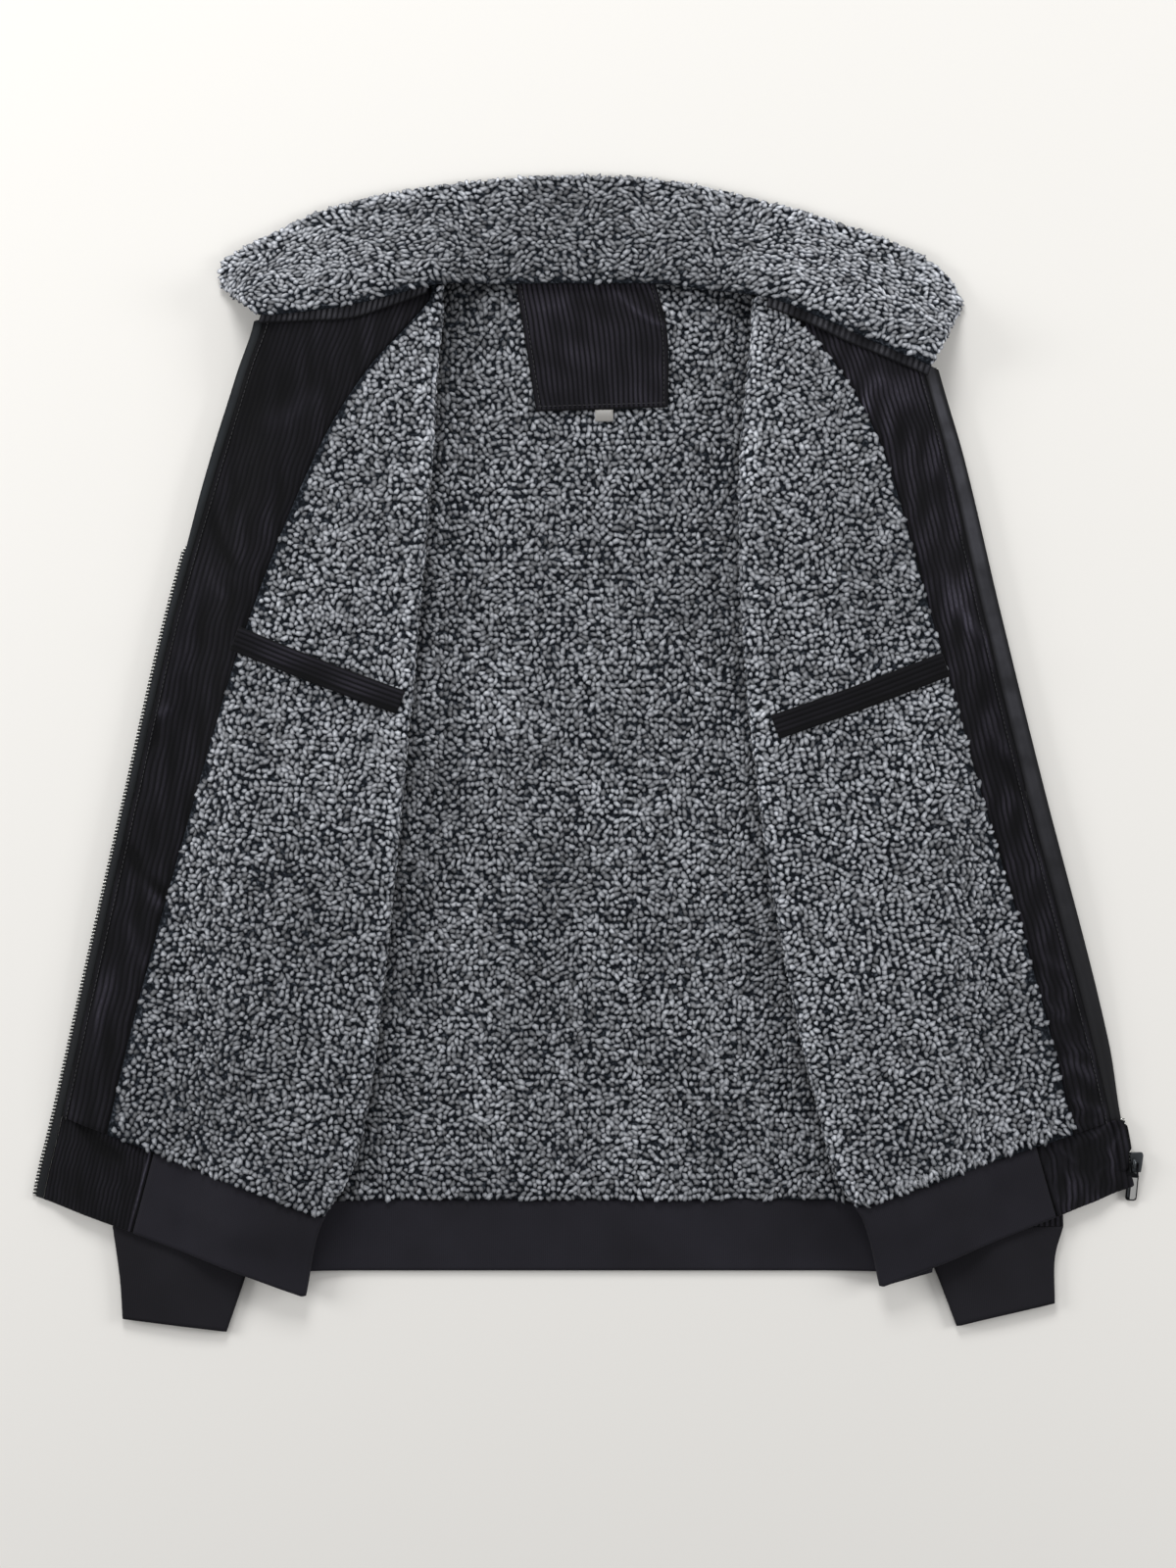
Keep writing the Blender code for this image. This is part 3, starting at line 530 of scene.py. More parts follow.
def cutOf(grid):
    # width and length of a piece's cut and its area, in metres
    across, along = rowLengths(grid, 1), rowLengths(grid, 0)
    mean = (across[:-1] + across[1:]) / 2
    area = (mean * (along[:, :-1] + along[:, 1:]) / 2).sum() * metre**2
    return across.sum(axis=1).max() * metre, along.sum(axis=0).max() * metre, area


def place(made, slot, *nodes, body=jacketBody):
    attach(made, body)
    if nodes:
        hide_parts(*nodes)


leastCut = 0.01  # metres: the shortest side that a cut is stated with


def solidOf(name):  # the solid that a piece stands for, such as hem_band_l for hemBandL
    return "".join("_" + letter.lower() if letter.isupper() else letter for letter in name)


def laySheet(made, slot, grid, piles=()):
    # cloth and the pile on it, on the jacket and for its solid, with the cut of its grid printed
    for piece in (made, *piles):
        place(piece, slot, solidOf(made.name))
    width, length, area = cutOf(grid)
    width, length = max(width, leastCut), max(length, leastCut)
    area = min(area, width * length)
    print(f"  {made.name}: cut {width:.3f} by {length:.3f} m, {area:.4f} m2")


# Materials


def linear(hexColour):  # an sRGB hex colour as linear red, green, blue and alpha
    parts = [int(hexColour[i:i + 2], 16) / 255 for i in (1, 3, 5)]
    return (*(c / 12.92 if c <= 0.04045 else ((c + 0.055) / 1.055) ** 2.4 for c in parts), 1)


def setInputs(node, inputs):
    # inputs in order or by name, each as a value or as another node's output
    for key, value in inputs.items() if isinstance(inputs, dict) else enumerate(inputs):
        if isinstance(value, bpy.types.NodeSocket):
            node.id_data.links.new(value, node.inputs[key])
        else:
            node.inputs[key].default_value = value


def addNode(tree, kind, inputs=(), out=0, **settings):
    # one node; what comes back is one of its outputs, or the node itself where out is None
    node = tree.nodes.new(kind)
    for key, value in settings.items():
        setattr(node, key, value)
    setInputs(node, inputs)
    return node if out is None else node.outputs[out]


def newMaterial(name, colour, roughness, **values):
    # a material, its shader and the function that adds nodes to it
    made = bpy.data.materials.new(name)
    made.use_nodes = True
    made.diffuse_color = linear(colour)
    shader = made.node_tree.nodes["Principled BSDF"]
    setInputs(shader, {"Base Color": linear(colour), "Roughness": roughness, **values})
    return made, shader, partial(addNode, made.node_tree)


def colourSteps(add, factor, steps):
    ramp = add("ShaderNodeValToRGB", (factor,), None)
    band = ramp.color_ramp
    while len(band.elements) < len(steps):
        band.elements.new(0.5)
    for element, (at, colour) in zip(band.elements, steps):
        element.position = at
        element.color = linear(colour)
    return ramp.outputs["Color"]


def finishLook(add, shader, height, strength, distance, **inputs):
    # the relief of a material and what else goes into its shader
    normal = add("ShaderNodeBump", {"Height": height, "Strength": strength, "Distance": distance})
    setInputs(shader, {"Normal": normal, **inputs})


fleece = {
    "gapColour": "#1b1e24",
    "shadeColour": "#484c53",
    "tipColour": "#a6a8ad",
    "toneLow": 0.44,
    "toneHigh": 1.46,
    "underMm": 2.3,
    "patchMm": 70,
    "strandMm": 0.7,
}


def fleecePile(name, lightness):
    # Polyester fleece tumbled into tight curls: dry and matt. Each curl is painted blue-black at its foot as
    # painted shade between the curls, and light at its top as painted light
    made, shader, add = newMaterial(name, fleece["shadeColour"], 0.95, **{"Specular IOR Level": 0.15})
    where = add("ShaderNodeTexCoord", out="Object")
    tip, tone, shade = [
        add("ShaderNodeAttribute", out="Fac", attribute_name=key) for key in ("tip", "tone", "shade")
    ]
    strands = add("ShaderNodeTexNoise", {"Vector": where, "Scale": 1000 / fleece["strandMm"], "Detail": 1.0})
    patches = add("ShaderNodeTexNoise", {"Vector": where, "Scale": 1000 / fleece["patchMm"], "Detail": 1.5})
    uneven = add("ShaderNodeMath", (strands, 0.35, -0.17), operation="MULTIPLY_ADD")
    height = add("ShaderNodeMath", (tip, uneven), operation="ADD", use_clamp=True)
    # painted shade at the foot of each curl and painted light at its top
    steps = [(0.0, fleece["gapColour"]), (0.42, fleece["shadeColour"]), (0.95, fleece["tipColour"])]
    light = add("ShaderNodeMapRange", (tone, 0, 1, fleece["toneLow"], fleece["toneHigh"]))
    patch = add("ShaderNodeMapRange", (patches, 0.3, 0.7, 0.8 * lightness, 1.15 * lightness))
    # the shade attribute brings in the painted light and shade given to each panel
    for amount in (patch, shade):
        light = add("ShaderNodeMath", (light, amount), operation="MULTIPLY")
    lit = {0: colourSteps(add, height, steps), "Scale": light}
    colour = add("ShaderNodeVectorMath", lit, operation="SCALE")
    finishLook(add, shader, strands, 0.7, 0.0006, **{"Base Color": colour})
    return made


def fleeceGround(name):
    # The knitted ground of the fleece with the short curls that stay down in it, painted blue-black as
    # painted shade, the shade that falls between the standing curls
    made, shader, add = newMaterial(name, fleece["gapColour"], 0.95, **{"Specular IOR Level": 0.1})
    where = add("ShaderNodeTexCoord", out="Object")
    curls = add("ShaderNodeTexNoise", {"Vector": where, "Scale": 1000 / fleece["underMm"], "Detail": 2.0})
    colour = colourSteps(add, curls, [(0.42, "#0f1217"), (0.58, "#22262c"), (0.74, "#4b4f56")])
    finishLook(add, shader, curls, 0.8, 0.001, **{"Base Color": colour})
    return made


cordCloth = {
    "crest": "#2c2a32",
    "middle": "#18171c",
    "groove": "#0a0a0c",
    "light": "#4a4854",
    "walePitch": 3.9,
    "patchPitch": 3.6,
    "waleHeight": 0.9,
    "napMm": 0.55,
    "napLengthMm": 2.6,
}


def corduroyCotton(name, bumpWales, **colours):
    # Cut cotton corduroy with a brushed nap: dark in the grooves, partly as painted shade, and greying a
    # little on the crests, partly as painted light
    # bumpWales is for cloth whose mesh is smooth
    look = {**cordCloth, **colours}
    finish = {"Specular IOR Level": 0.12, "Sheen Weight": 0.03}
    made, shader, add = newMaterial(name, look["crest"], 0.9, **finish)
    uv = add("ShaderNodeUVMap", uv_map="cut")
    if bumpWales:
        across = add("ShaderNodeSeparateXYZ", (uv,))
        waves = add("ShaderNodeMath", (across, 1000 / look["walePitch"]), operation="MULTIPLY")
        fold = add("ShaderNodeMath", (waves, 0.5), operation="PINGPONG")
        wale = add("ShaderNodeMapRange", (fold, 0.02, 0.4), interpolation_type="SMOOTHSTEP")
    else:
        wale = add("ShaderNodeAttribute", out="Fac", attribute_name="crest")
    napScale = (1000 / look["napMm"], 1000 / look["napLengthMm"], 1)
    stretched = add("ShaderNodeMapping", {"Vector": uv, "Scale": napScale})
    nap = add("ShaderNodeTexNoise", {"Vector": stretched, "Scale": 1.0, "Detail": 2.0})
    where = add("ShaderNodeTexCoord", out="Object")
    lightShare = add("ShaderNodeTexNoise", {"Vector": where, "Scale": 22.0, "Detail": 2.0})
    worn = add("ShaderNodeMath", (nap, 0.5, lightShare), operation="MULTIPLY_ADD")
    lit = add("ShaderNodeMapRange", (worn, 0.45, 1.05, 0.35, 0.8))
    height = add("ShaderNodeMath", (wale, lit), operation="MULTIPLY")
    # from groove to crest: partly the nap's own colour, partly painted shade and painted light
    steps = [(0.0, look["groove"]), (0.35, look["middle"]), (0.7, look["crest"]), (1.0, look["light"])]
    base = {"Base Color": colourSteps(add, height, steps)}
    if bumpWales:
        relief = add("ShaderNodeMath", (nap, 0.25, wale), operation="MULTIPLY_ADD")
        finishLook(add, shader, relief, 0.8, 0.0008, **base)
    else:
        finishLook(add, shader, nap, 0.5, 0.0003, **base)
    return made


bandCloth = {"ribMm": 1.3, "courseMm": 1.1}


def knitRib(name, colour, dark):
    # Fine gauge polyester rib, brushed smooth: matt, with columns of stitches that only show close by
    made, shader, add = newMaterial(name, colour, 0.85, **{"Specular IOR Level": 0.15, "Sheen Weight": 0.02})
    parts = add("ShaderNodeSeparateXYZ", (add("ShaderNodeUVMap", uv_map="cut"),), None).outputs
    across = add("ShaderNodeMath", (parts["X"], 1000 / bandCloth["ribMm"]), operation="MULTIPLY")
    along = add("ShaderNodeMath", (parts["Y"], 1000 / bandCloth["courseMm"]), operation="MULTIPLY")
    rib = add("ShaderNodeMath", (across, 0.5), operation="PINGPONG")
    lean = add("ShaderNodeMath", (along, rib), operation="ADD")
    course = add("ShaderNodeMath", (lean, 0.5), operation="PINGPONG")
    stitch = add("ShaderNodeMath", (course, 0.5, rib), operation="MULTIPLY_ADD")
    where = add("ShaderNodeTexCoord", out="Object")
    shade = add("ShaderNodeTexNoise", {"Vector": where, "Scale": 14.0, "Detail": 3.0})
    mixed = add("ShaderNodeMath", (stitch, 0.25, shade), operation="MULTIPLY_ADD")
    mottled = colourSteps(add, mixed, [(0.3, dark), (0.8, colour)])
    finishLook(add, shader, stitch, 0.35, 0.0003, **{"Base Color": mottled})
    return made


def twillTape(name, colour, upper, wide):
    # Woven polyester zip tape: tight slanting twill, greyed towards the neck by a painted sheen that keeps
    # off its edges, which stay dark
    made, shader, add = newMaterial(name, colour, 0.7, **{"Specular IOR Level": 0.2})
    uv = add("ShaderNodeUVMap", uv_map="cut")
    slant = {"Vector": uv, "Rotation": (0, 0, math.radians(35)), "Scale": (1000, 1000, 1)}
    weave = {"Vector": add("ShaderNodeMapping", slant), "Scale": 0.35, "Distortion": 0.6}
    twill = add("ShaderNodeTexWave", weave, "Fac", wave_profile="SIN")
    where = add("ShaderNodeTexCoord", out="Object")
    # painted sheen: lighter towards the neck, kept off both edges and broken by a random mottle
    height = add("ShaderNodeSeparateXYZ", (where,), "Y")
    lightShare = add("ShaderNodeMapRange", (height, -0.2, 0.24))
    across = add("ShaderNodeSeparateXYZ", (uv,))
    mottle = add("ShaderNodeTexNoise", {"Vector": where, "Scale": 55.0, "Detail": 2.0})
    for amount in (
        (across, 0.001, 0.004),
        (across, wide * metre, wide * metre - 0.003),
        (mottle, 0.35, 0.62, 0.45),
    ):
        share = add("ShaderNodeMapRange", amount)
        lightShare = add("ShaderNodeMath", (lightShare, share), operation="MULTIPLY")
    base = colourSteps(add, lightShare, [(0.0, colour), (1.0, upper)])
    thread = add("ShaderNodeMapRange", (twill, 0, 1, 0.75, 1.15))
    scaled = add("ShaderNodeVectorMath", {0: base, "Scale": thread}, operation="SCALE")
    finishLook(add, shader, twill, 0.4, 0.0002, **{"Base Color": scaled})
    return made


def plainFinish(name, colour, roughness, metallic=0.0, grainMm=0.8, grain=0.12):
    # A finish with a fine uneven grain in its gloss and relief
    made, shader, add = newMaterial(name, colour, roughness, Metallic=metallic)
    where = add("ShaderNodeTexCoord", out="Object")
    noise = add("ShaderNodeTexNoise", {"Vector": where, "Scale": 1000 / grainMm, "Detail": 3.0})
    gloss = add("ShaderNodeMapRange", (noise, 0, 1, max(0.02, roughness - grain), min(1, roughness + grain)))
    finishLook(add, shader, noise, 0.15, 0.0001, Roughness=gloss)
    return made


materials = {
    "pile": fleecePile("bodyFleece", 1.0),
    # the collar's fleece is the body's fleece made lighter, as painted light
    "collarPile": fleecePile("collarFleece", 1.22),
    "backing": fleeceGround("fleeceBacking"),
    "corduroy": corduroyCotton("facingCorduroy", False),
    # the stand is the same corduroy made lighter, as painted light against the collar's shadow
    "stand": corduroyCotton("standCorduroy", False, crest="#6a6a70", middle="#35353a", light="#8c8c92"),
    "outer": corduroyCotton("outerCorduroy", True),
    "knit": knitRib("bandRib", "#232229", "#19181d"),
    "cuff": knitRib("cuffRib", "#1e1d22", "#151418"),
    "tapeL": twillTape("zipTapeTwillLeft", "#16181b", "#24282c", 8.0),
    "tapeR": twillTape("zipTapeTwillRight", "#141417", "#424248", 12.4),
    "thread": plainFinish("polyesterThread", "#1d1d21", 0.55, grainMm=0.5),  # twisted sewing thread
    "teeth": plainFinish("nickelledTeeth", "#c6c6c2", 0.3, 1.0),  # die-cast teeth with a worn bright plating
    "slider": plainFinish("gunmetalSlider", "#4a4d50", 0.38, 1.0),  # cast zinc, dark plated
    "pull": plainFinish("polishedPull", "#dcdcda", 0.14, 1.0, grain=0.05),  # cast zinc, polished
    "pullRim": plainFinish("darkPullRim", "#1c1d1f", 0.32, 0.9),  # black nickel on the tab's body
    "satin": plainFinish("satinTab", "#8c8a87", 0.45, grainMm=0.4),  # woven satin ribbon
}
print("materials made")


# Curled pile, as small tufts set on a sheet of cloth

tuft = {
    "spacing": 3.15,
    "length": 6.0,
    "width": 4.5,
    "height": 3.3,
    "sides": 6,
    "swirlMm": 24,
    "swirl": 13.0,
    "turnRandom": 0.7,
    "leanRandom": 0.32,
    "toneRandom": 0.3,
    "smallest": (0.6, 0.72, 0.6),
    "largest": (1.38, 1.14, 1.2),
    "seed": 7,
}
pileHeight = 1.7  # how far the curls stand above their ground


def tuftMesh(name, bend, taper):
    # one curl: a closed grain, bent along its length, its tip number 0 at the foot and 1 at the top
    count = tuft["sides"]
    places, tips = [], []
    for height, reach, tip in ((-0.38, 0.86, 0.0), (0.22, 0.9, 0.52)):
        for i in range(count):
            turn = math.tau * i / count
            x = 0.5 * tuft["length"] * reach * math.cos(turn)
            y = 0.5 * tuft["width"] * reach * math.sin(turn) * (1 - taper * math.cos(turn))
            places.append((x, y + bend * (x / tuft["length"]) ** 2 * tuft["length"], height * tuft["height"]))
            tips.append(tip)
    places.append((0, 0, 0.52 * tuft["height"]))
    ring = [(i, (i + 1) % count) for i in range(count)]
    faces = [[0, *range(count - 1, 0, -1)]]
    faces += [[i, j, count + j, count + i] for i, j in ring]
    faces += [[count + i, count + j, 2 * count] for i, j in ring]
    made = asMesh(name, places, faces, materials["pile"])
    mark(made, "tip", tips + [1.0])
    return made


tuftShapes = [
    tuftMesh("tuftStraight", 0.0, 0.12),
    tuftMesh("tuftCurled", 1.1, 0.2),
    tuftMesh("tuftHooked", -0.8, -0.2),
]


def newTree(name, inputs):
    # a geometry tree, the function that adds nodes to it, and what comes in by its named inputs
    tree = bpy.data.node_groups.new(name, "GeometryNodeTree")
    for key, (kind, value) in {"Geometry": ("Geometry", None), **inputs}.items():
        socket = tree.interface.new_socket(key, in_out="INPUT", socket_type="NodeSocket" + kind)
        if value is not None:
            socket.default_value = value
    tree.interface.new_socket("Geometry", in_out="OUTPUT", socket_type="NodeSocketGeometry")
    add = partial(addNode, tree)
    return tree, add, add("NodeGroupInput", out=None).outputs


def endTree(add, given, placed):
    real = add("GeometryNodeRealizeInstances", (placed,))
    finished = add("GeometryNodeSetMaterial", {0: real, "Material": given["Material"]})
    add("NodeGroupOutput", (finished,), None)


def pileTree():
    # tufts spread over a sheet where its share is above 0, turned in slow swirls
    tree, add, given = newTree("growPile", {
        "Spacing": ("Float", tuft["spacing"] * metre),
        "Seed": ("Int", tuft["seed"]),
        "Swirl": ("Float", tuft["swirl"]),
        "Turn": ("Float", 0.0),
        "Stretch": ("Vector", (1, 1, 1)),
        "Material": ("Material", None),
    })
    position = add("GeometryNodeInputPosition")
    share = add("GeometryNodeInputNamedAttribute", {"Name": "share"}, data_type="FLOAT")
    sheet = {
        "Mesh": given["Geometry"],
        "Distance Min": given["Spacing"],
        "Density Max": 600000.0,
        "Density Factor": share,
        "Seed": given["Seed"],
    }
    spread = add("GeometryNodeDistributePointsOnFaces", sheet, None, distribute_method="POISSON").outputs
    swirl = add("ShaderNodeTexNoise", {"Vector": position, "Scale": 1000 / tuft["swirlMm"], "Detail": 1.0})
    chances = []
    for key, seed in (("turnRandom", 3), ("leanRandom", 5), ("leanRandom", 6), ("toneRandom", 9)):
        limits = {"Min": -tuft[key], "Max": tuft[key], "Seed": seed}
        chances.append(add("FunctionNodeRandomValue", limits, 1, data_type="FLOAT"))
    loose, leanA, leanB, chance = chances
    centred = add("ShaderNodeMath", (swirl, 0.5), operation="SUBTRACT")
    swirled = add("ShaderNodeMath", (centred, given["Swirl"], loose), operation="MULTIPLY_ADD")
    turn = add("ShaderNodeMath", (swirled, given["Turn"]), operation="ADD")
    byAngles = add("FunctionNodeEulerToRotation", (add("ShaderNodeCombineXYZ", (leanA, leanB, turn)),))
    outwards = {"Vector": spread["Normal"]}
    upright = add("FunctionNodeAlignRotationToVector", outwards, axis="Z", pivot_axis="AUTO")
    turning = {"Rotation": upright, "Rotate By": byAngles}
    turned = add("FunctionNodeRotateRotation", turning, rotation_space="LOCAL")
    sizes = {"Min": tuft["smallest"], "Max": tuft["largest"], "Seed": 8}
    size = add("FunctionNodeRandomValue", sizes, data_type="FLOAT_VECTOR")
    scale = add("ShaderNodeVectorMath", (size, given["Stretch"]), operation="MULTIPLY")
    shapes = add("GeometryNodeJoinGeometry", out=None)
    for shape in tuftShapes:
        source = {"Object": shape, "As Instance": True}
        curl = add("GeometryNodeObjectInfo", source, "Geometry", transform_space="ORIGINAL")
        tree.links.new(curl, shapes.inputs[0])
    placed = add("GeometryNodeInstanceOnPoints", {
        "Points": spread["Points"],
        "Instance": shapes.outputs[0],
        "Pick Instance": True,
        "Rotation": turned,
        "Scale": scale,
    })
    # painted light: the curls that stand highest are made the lightest, and each curl also gets a random tone
    # of its own
    tall = add("ShaderNodeSeparateXYZ", (size,), "Z")
    tone = add("ShaderNodeMath", (tall, 1.15, -0.54), operation="MULTIPLY_ADD")
    tone = add("ShaderNodeMath", (tone, chance), operation="ADD", use_clamp=True)
    store = {"Geometry": placed, "Name": "tone", "Value": tone}
    toned = add("GeometryNodeStoreNamedAttribute", store, data_type="FLOAT", domain="INSTANCE")
    endTree(add, given, toned)
    return tree


def madePlain(made, tree, values, name):
    # the result of a geometry tree on an object, as a plain mesh in an object of its own
    modifier = made.modifiers.new(tree.name, "NODES")
    modifier.node_group = tree
    for socket in tree.interface.items_tree:
        if socket.item_type == "SOCKET" and socket.in_out == "INPUT" and socket.name in values:
            modifier[socket.identifier] = values[socket.name]
    evaluated = made.evaluated_get(bpy.context.evaluated_depsgraph_get())
    mesh = bpy.data.meshes.new_from_object(evaluated)
    mesh.name = name
    made.modifiers.remove(modifier)
    return linked(name, mesh)


growPile = pileTree()
pileTriangles = []


def pileOn(name, ground, share, look, seed=0, shade=1.0, **values):
    # curls on a grid of places: share is how much of the pile stands at each, and shade is how light it is
    # painted, as painted light and shade
    faces = quads(0, *ground.shape[:2])
    across, along = ground[0, 1] - ground[0, 0], ground[1, 0] - ground[0, 0]
    if np.cross(across, along)[2] < 0:
        faces = [face[::-1] for face in faces]
    base = asMesh(name + "Ground", ground, faces, materials[look])
    for key, given in (("share", np.clip(share, 0, 1)), ("shade", shade)):
        mark(base, key, np.broadcast_to(given, ground.shape[:2]))
    values.update({"Seed": tuft["seed"] + seed, "Material": materials[look]})
    made = madePlain(base, growPile, values, name)
    bpy.data.objects.remove(base, do_unlink=True)
    pileTriangles.append(sum(len(p.vertices) - 2 for p in made.data.polygons))
    print(f"  {name}: {pileTriangles[-1]} triangles")
    return made


def pileHalves(name, ground, share, shade, seeds):
    # the pile of a whole panel, as an upper and a lower piece
    half = len(ground) // 2
    parts = (("Upper", slice(half + 1), seeds[0]), ("Lower", slice(half, None), seeds[1]))
    return [
        pileOn(name.format(part), ground[rows], share[rows], "pile", seed, shade[rows])
        for part, rows, seed in parts
    ]


# The back


def foldAt(side, y):
    return through(frontRows[side], "y", "fold", y)


def shoulderLine(a):
    slope = (a - back["neckHalf"]) / (back["shoulderHalf"] - back["neckHalf"])
    return np.where(a < back["neckHalf"], back["neckY"], between(back["neckY"], back["shoulderY"], slope))


def backGrid(lift, shrink, rows, columns, creased=False):
    v = downSteps(0, 1, rows)
    half = through(bodyRows, "y", "side", between(back["shoulderY"], back["hemY"], v)) - shrink
    x = acrossSteps(-1, 1, columns) * half
    a = np.abs(x)
    y = between(shoulderLine(a) - shrink, back["hemY"] + halfSeam, v)
    z = resting(a, y, drape["backReach"]) + lift
    if creased:
        waves = back["wave"] * softWaves(x, y, back["waveMm"], back["waveSeed"])
        z = z + creaseRise(["backPile"], x, y) + waves + back["waveRoom"]
    return gridOf(x, y, z)


def bandGrid(lift, rows, columns):
    y = downSteps(back["hemY"] - halfSeam, back["footY"], rows)
    x = acrossSteps(-1, 1, columns) * through(bodyRows, "y", "side", y)
    return gridOf(x, y, resting(np.abs(x), y, drape["backReach"]) + lift)


def backPile(lift, inset):
    ground = backGrid(lift, inset, *back["pileGrid"], True)
    x, y = ground[..., 0], ground[..., 1]
    edge = np.where(x < 0, foldAt("l", y), foldAt("r", y))
    share = smooth((edge + back["pilePastFold"] - np.abs(x)) / back["pileFade"]) * ~underPatch(x, y)
    # painted shadow: the pile is made dark in the crease under each fold and under the collar, darker in the
    # troughs of its creases and lighter on their ridges, and the whole back a little darker
    inFrom = np.maximum(edge - np.abs(x), 0)
    nearNeck = smooth((y - back["neckShadeY"]) / back["neckShadeRise"])
    nearNeck = nearNeck * np.where(x < 0, 1.0, back["neckShadeRight"])
    shade = back["light"] - back["foldShade"] * bell(inFrom, back["foldShadeReach"])
    shade = shade * (1 - back["neckShade"] * nearNeck * bell(inFrom, back["neckShadeReach"]))
    shade = shade * (1 - back["seamShade"] * bell(back["neckY"] - y, back["seamShadeReach"]))
    shade = shade * (1 + back["creaseLight"] * creaseRise(["backPile"], x, y))
    return pileHalves("backPile{}", ground, share, shade, (0, 1))


def makeBack():
    size = back["shellGrid"]
    top = backGrid(cloth["shell"], 0, *size)
    shell = clothWall("backShell", top, backGrid(0, 0, *size), "outer", gridUv(top))
    laySheet(shell, "outer_cloth", top)
    inset, lift = back["liningInset"], liningFoot + cloth["pile"] - pileHeight - back["waveRoom"]
    size = back["liningGrid"]
    top = backGrid(lift, inset, *size, True)
    lining = clothWall("backLining", top, backGrid(liningFoot, inset, *size), "backing")
    laySheet(lining, "sherpa", top, backPile(lift, inset))
    size = back["bandGrid"]
    top = bandGrid(cloth["knit"], *size)
    band = clothWall("hemBandBack", top, bandGrid(0, *size), "knit", gridUv(top))
    laySheet(band, "knit", top)


# The neck patch and the blank size tab

patchRows = table("left leftY right rightY", [(-51, 333, 46, 333), (-45, 297, 55, 298), (-36, 240, 56, 243)])
patch = {
    "length": 93,
    "rows": 60,
    "waleColumns": 4,
    "wave": 0.35,
    "waveMm": 60,
    "waveSeed": 5,
    "wander": 0.35,
    "wanderMm": 21,
    "wanderSeed": 61,
    "lift": 0.3,
    "deepest": -0.8,
    "fade": 0.84,
    "fadeSpread": 0.2,
    "fadeMm": 34,
    "fadeSeed": 62,
    "neckLight": 0.4,
    "neckReach": 12,
    "creaseLight": 0.25,
    "mostLight": 1.3,
    "stitches": 60,
    "stitchInset": 3.2,
    "pileInset": 2.6,
}
stitchLift = 0.75
sizeTab = {"left": 5.0, "right": 17.5, "low": 233.0, "high": 241.1, "thick": 0.6, "lift": 0.35, "bulge": 0.9}
stitchPaths = []


def underPatch(x, y):
    left, right = through(patchRows, "leftY", "left", y), through(patchRows, "rightY", "right", y)
    low = between(patchRows[-1].leftY, patchRows[-1].rightY, (x - left) / (right - left))
    inset = patch["pileInset"]
    return (x > left + inset) & (x < right - inset) & (y > low + inset)


def waleShape(wales):
    # rounded wales from 0 to 1, counted across them
    return np.sin(np.pi * (wales % 1.0)) ** 0.7


def patchPlace(u, v, lift):
    leftY = between(patchRows[0].leftY, patchRows[-1].leftY, v)
    rightY = between(patchRows[0].rightY, patchRows[-1].rightY, v)
    left, right = through(patchRows, "leftY", "left", leftY), through(patchRows, "rightY", "right", rightY)
    x, y = between(left, right, u), between(leftY, rightY, u)
    folds = np.maximum(patch["deepest"], creaseRise(["patch"], x, y))
    waves = patch["wave"] * softWaves(x, y, patch["waveMm"], patch["waveSeed"])
    return gridOf(x, y, backStack + waves + patch["lift"] + folds + lift)


def makePatch():
    width, length = patchRows[0].right - patchRows[0].left, patch["length"]
    wales = round(width / cordCloth["patchPitch"])
    u, v = acrossSteps(0, 1, wales * patch["waleColumns"] + 1), downSteps(0, 1, patch["rows"])
    edge = np.minimum(1, np.minimum(u, 1 - u) * width / 2.5)
    edge = edge * np.minimum(1, np.minimum(v, 1 - v) * length / 2 + 0.3)
    crest = waleShape(u * wales) * edge
    top = patchPlace(u, v, cloth["corduroy"] + cordCloth["waleHeight"] * crest)
    x, y = top[..., 0], top[..., 1]
    top[..., 0] += patch["wander"] * softWaves(x, y, patch["wanderMm"], patch["wanderSeed"]) * edge
    fade = patch["fade"] + patch["fadeSpread"] * softWaves(3 * x, y, patch["fadeMm"], patch["fadeSeed"])
    # painted light on the wales at the top, where the collar shades them, and on the ridges of creases;
    # painted shade in their troughs
    fade = fade + patch["neckLight"] * bell(v * length, patch["neckReach"])
    crest = np.clip(crest * fade + patch["creaseLight"] * creaseRise(["patch"], x, y), 0, patch["mostLight"])
    uv = gridOf(u * wales * cordCloth["walePitch"], v * length) * metre
    made = clothWall("neckPatch", top, patchPlace(u, v, 0), "corduroy", uv, crest)
    laySheet(made, "corduroy", top)
    count, side, foot = patch["stitches"], patch["stitchInset"] / width, 1 - patch["stitchInset"] / length
    ones, down, level = np.ones(count), np.linspace(0.03, foot, count), np.linspace(side, 1 - side, count)
    for us, vs in ((side * ones, down), ((1 - side) * ones, down), (level, foot * ones)):
        stitchPaths.append(patchPlace(us, vs, cloth["corduroy"] + stitchLift).tolist())


def makeSizeTab():
    half = (sizeTab["right"] - sizeTab["left"]) / 2
    middle = (sizeTab["right"] + sizeTab["left"]) / 2
    x = acrossSteps(-half, half, 9) + middle
    y = downSteps(sizeTab["high"], sizeTab["low"], 10)
    bulge = sizeTab["bulge"] * np.sin(downSteps(0, 1, 10) * math.pi)
    grid = gridOf(x, y, backStack + sizeTab["lift"] + bulge + 0.04 * (x - middle))
    tab = clothWall("sizeTab", grid + [0, 0, sizeTab["thick"]], grid, "satin")
    laySheet(tab, "tab_cloth", grid)


# The sleeves and cuffs


def tubeRing(outer, inner, foot, thick, sign):
    # rings of a flattened tube, from rows of outer and inner edges
    turn = np.linspace(0, math.tau, sleeve["ring"], endpoint=False)
    across = 0.5 - 0.5 * np.sign(np.cos(turn)) * np.abs(np.cos(turn)) ** 0.8
    height = 0.5 + 0.5 * np.sign(np.sin(turn)) * np.abs(np.sin(turn)) ** (2 / sleeve["flatness"])
    x = sign * between(outer[:, :1], inner[:, :1], across)
    return gridOf(x, between(outer[:, 1:], inner[:, 1:], across), foot + thick * height)


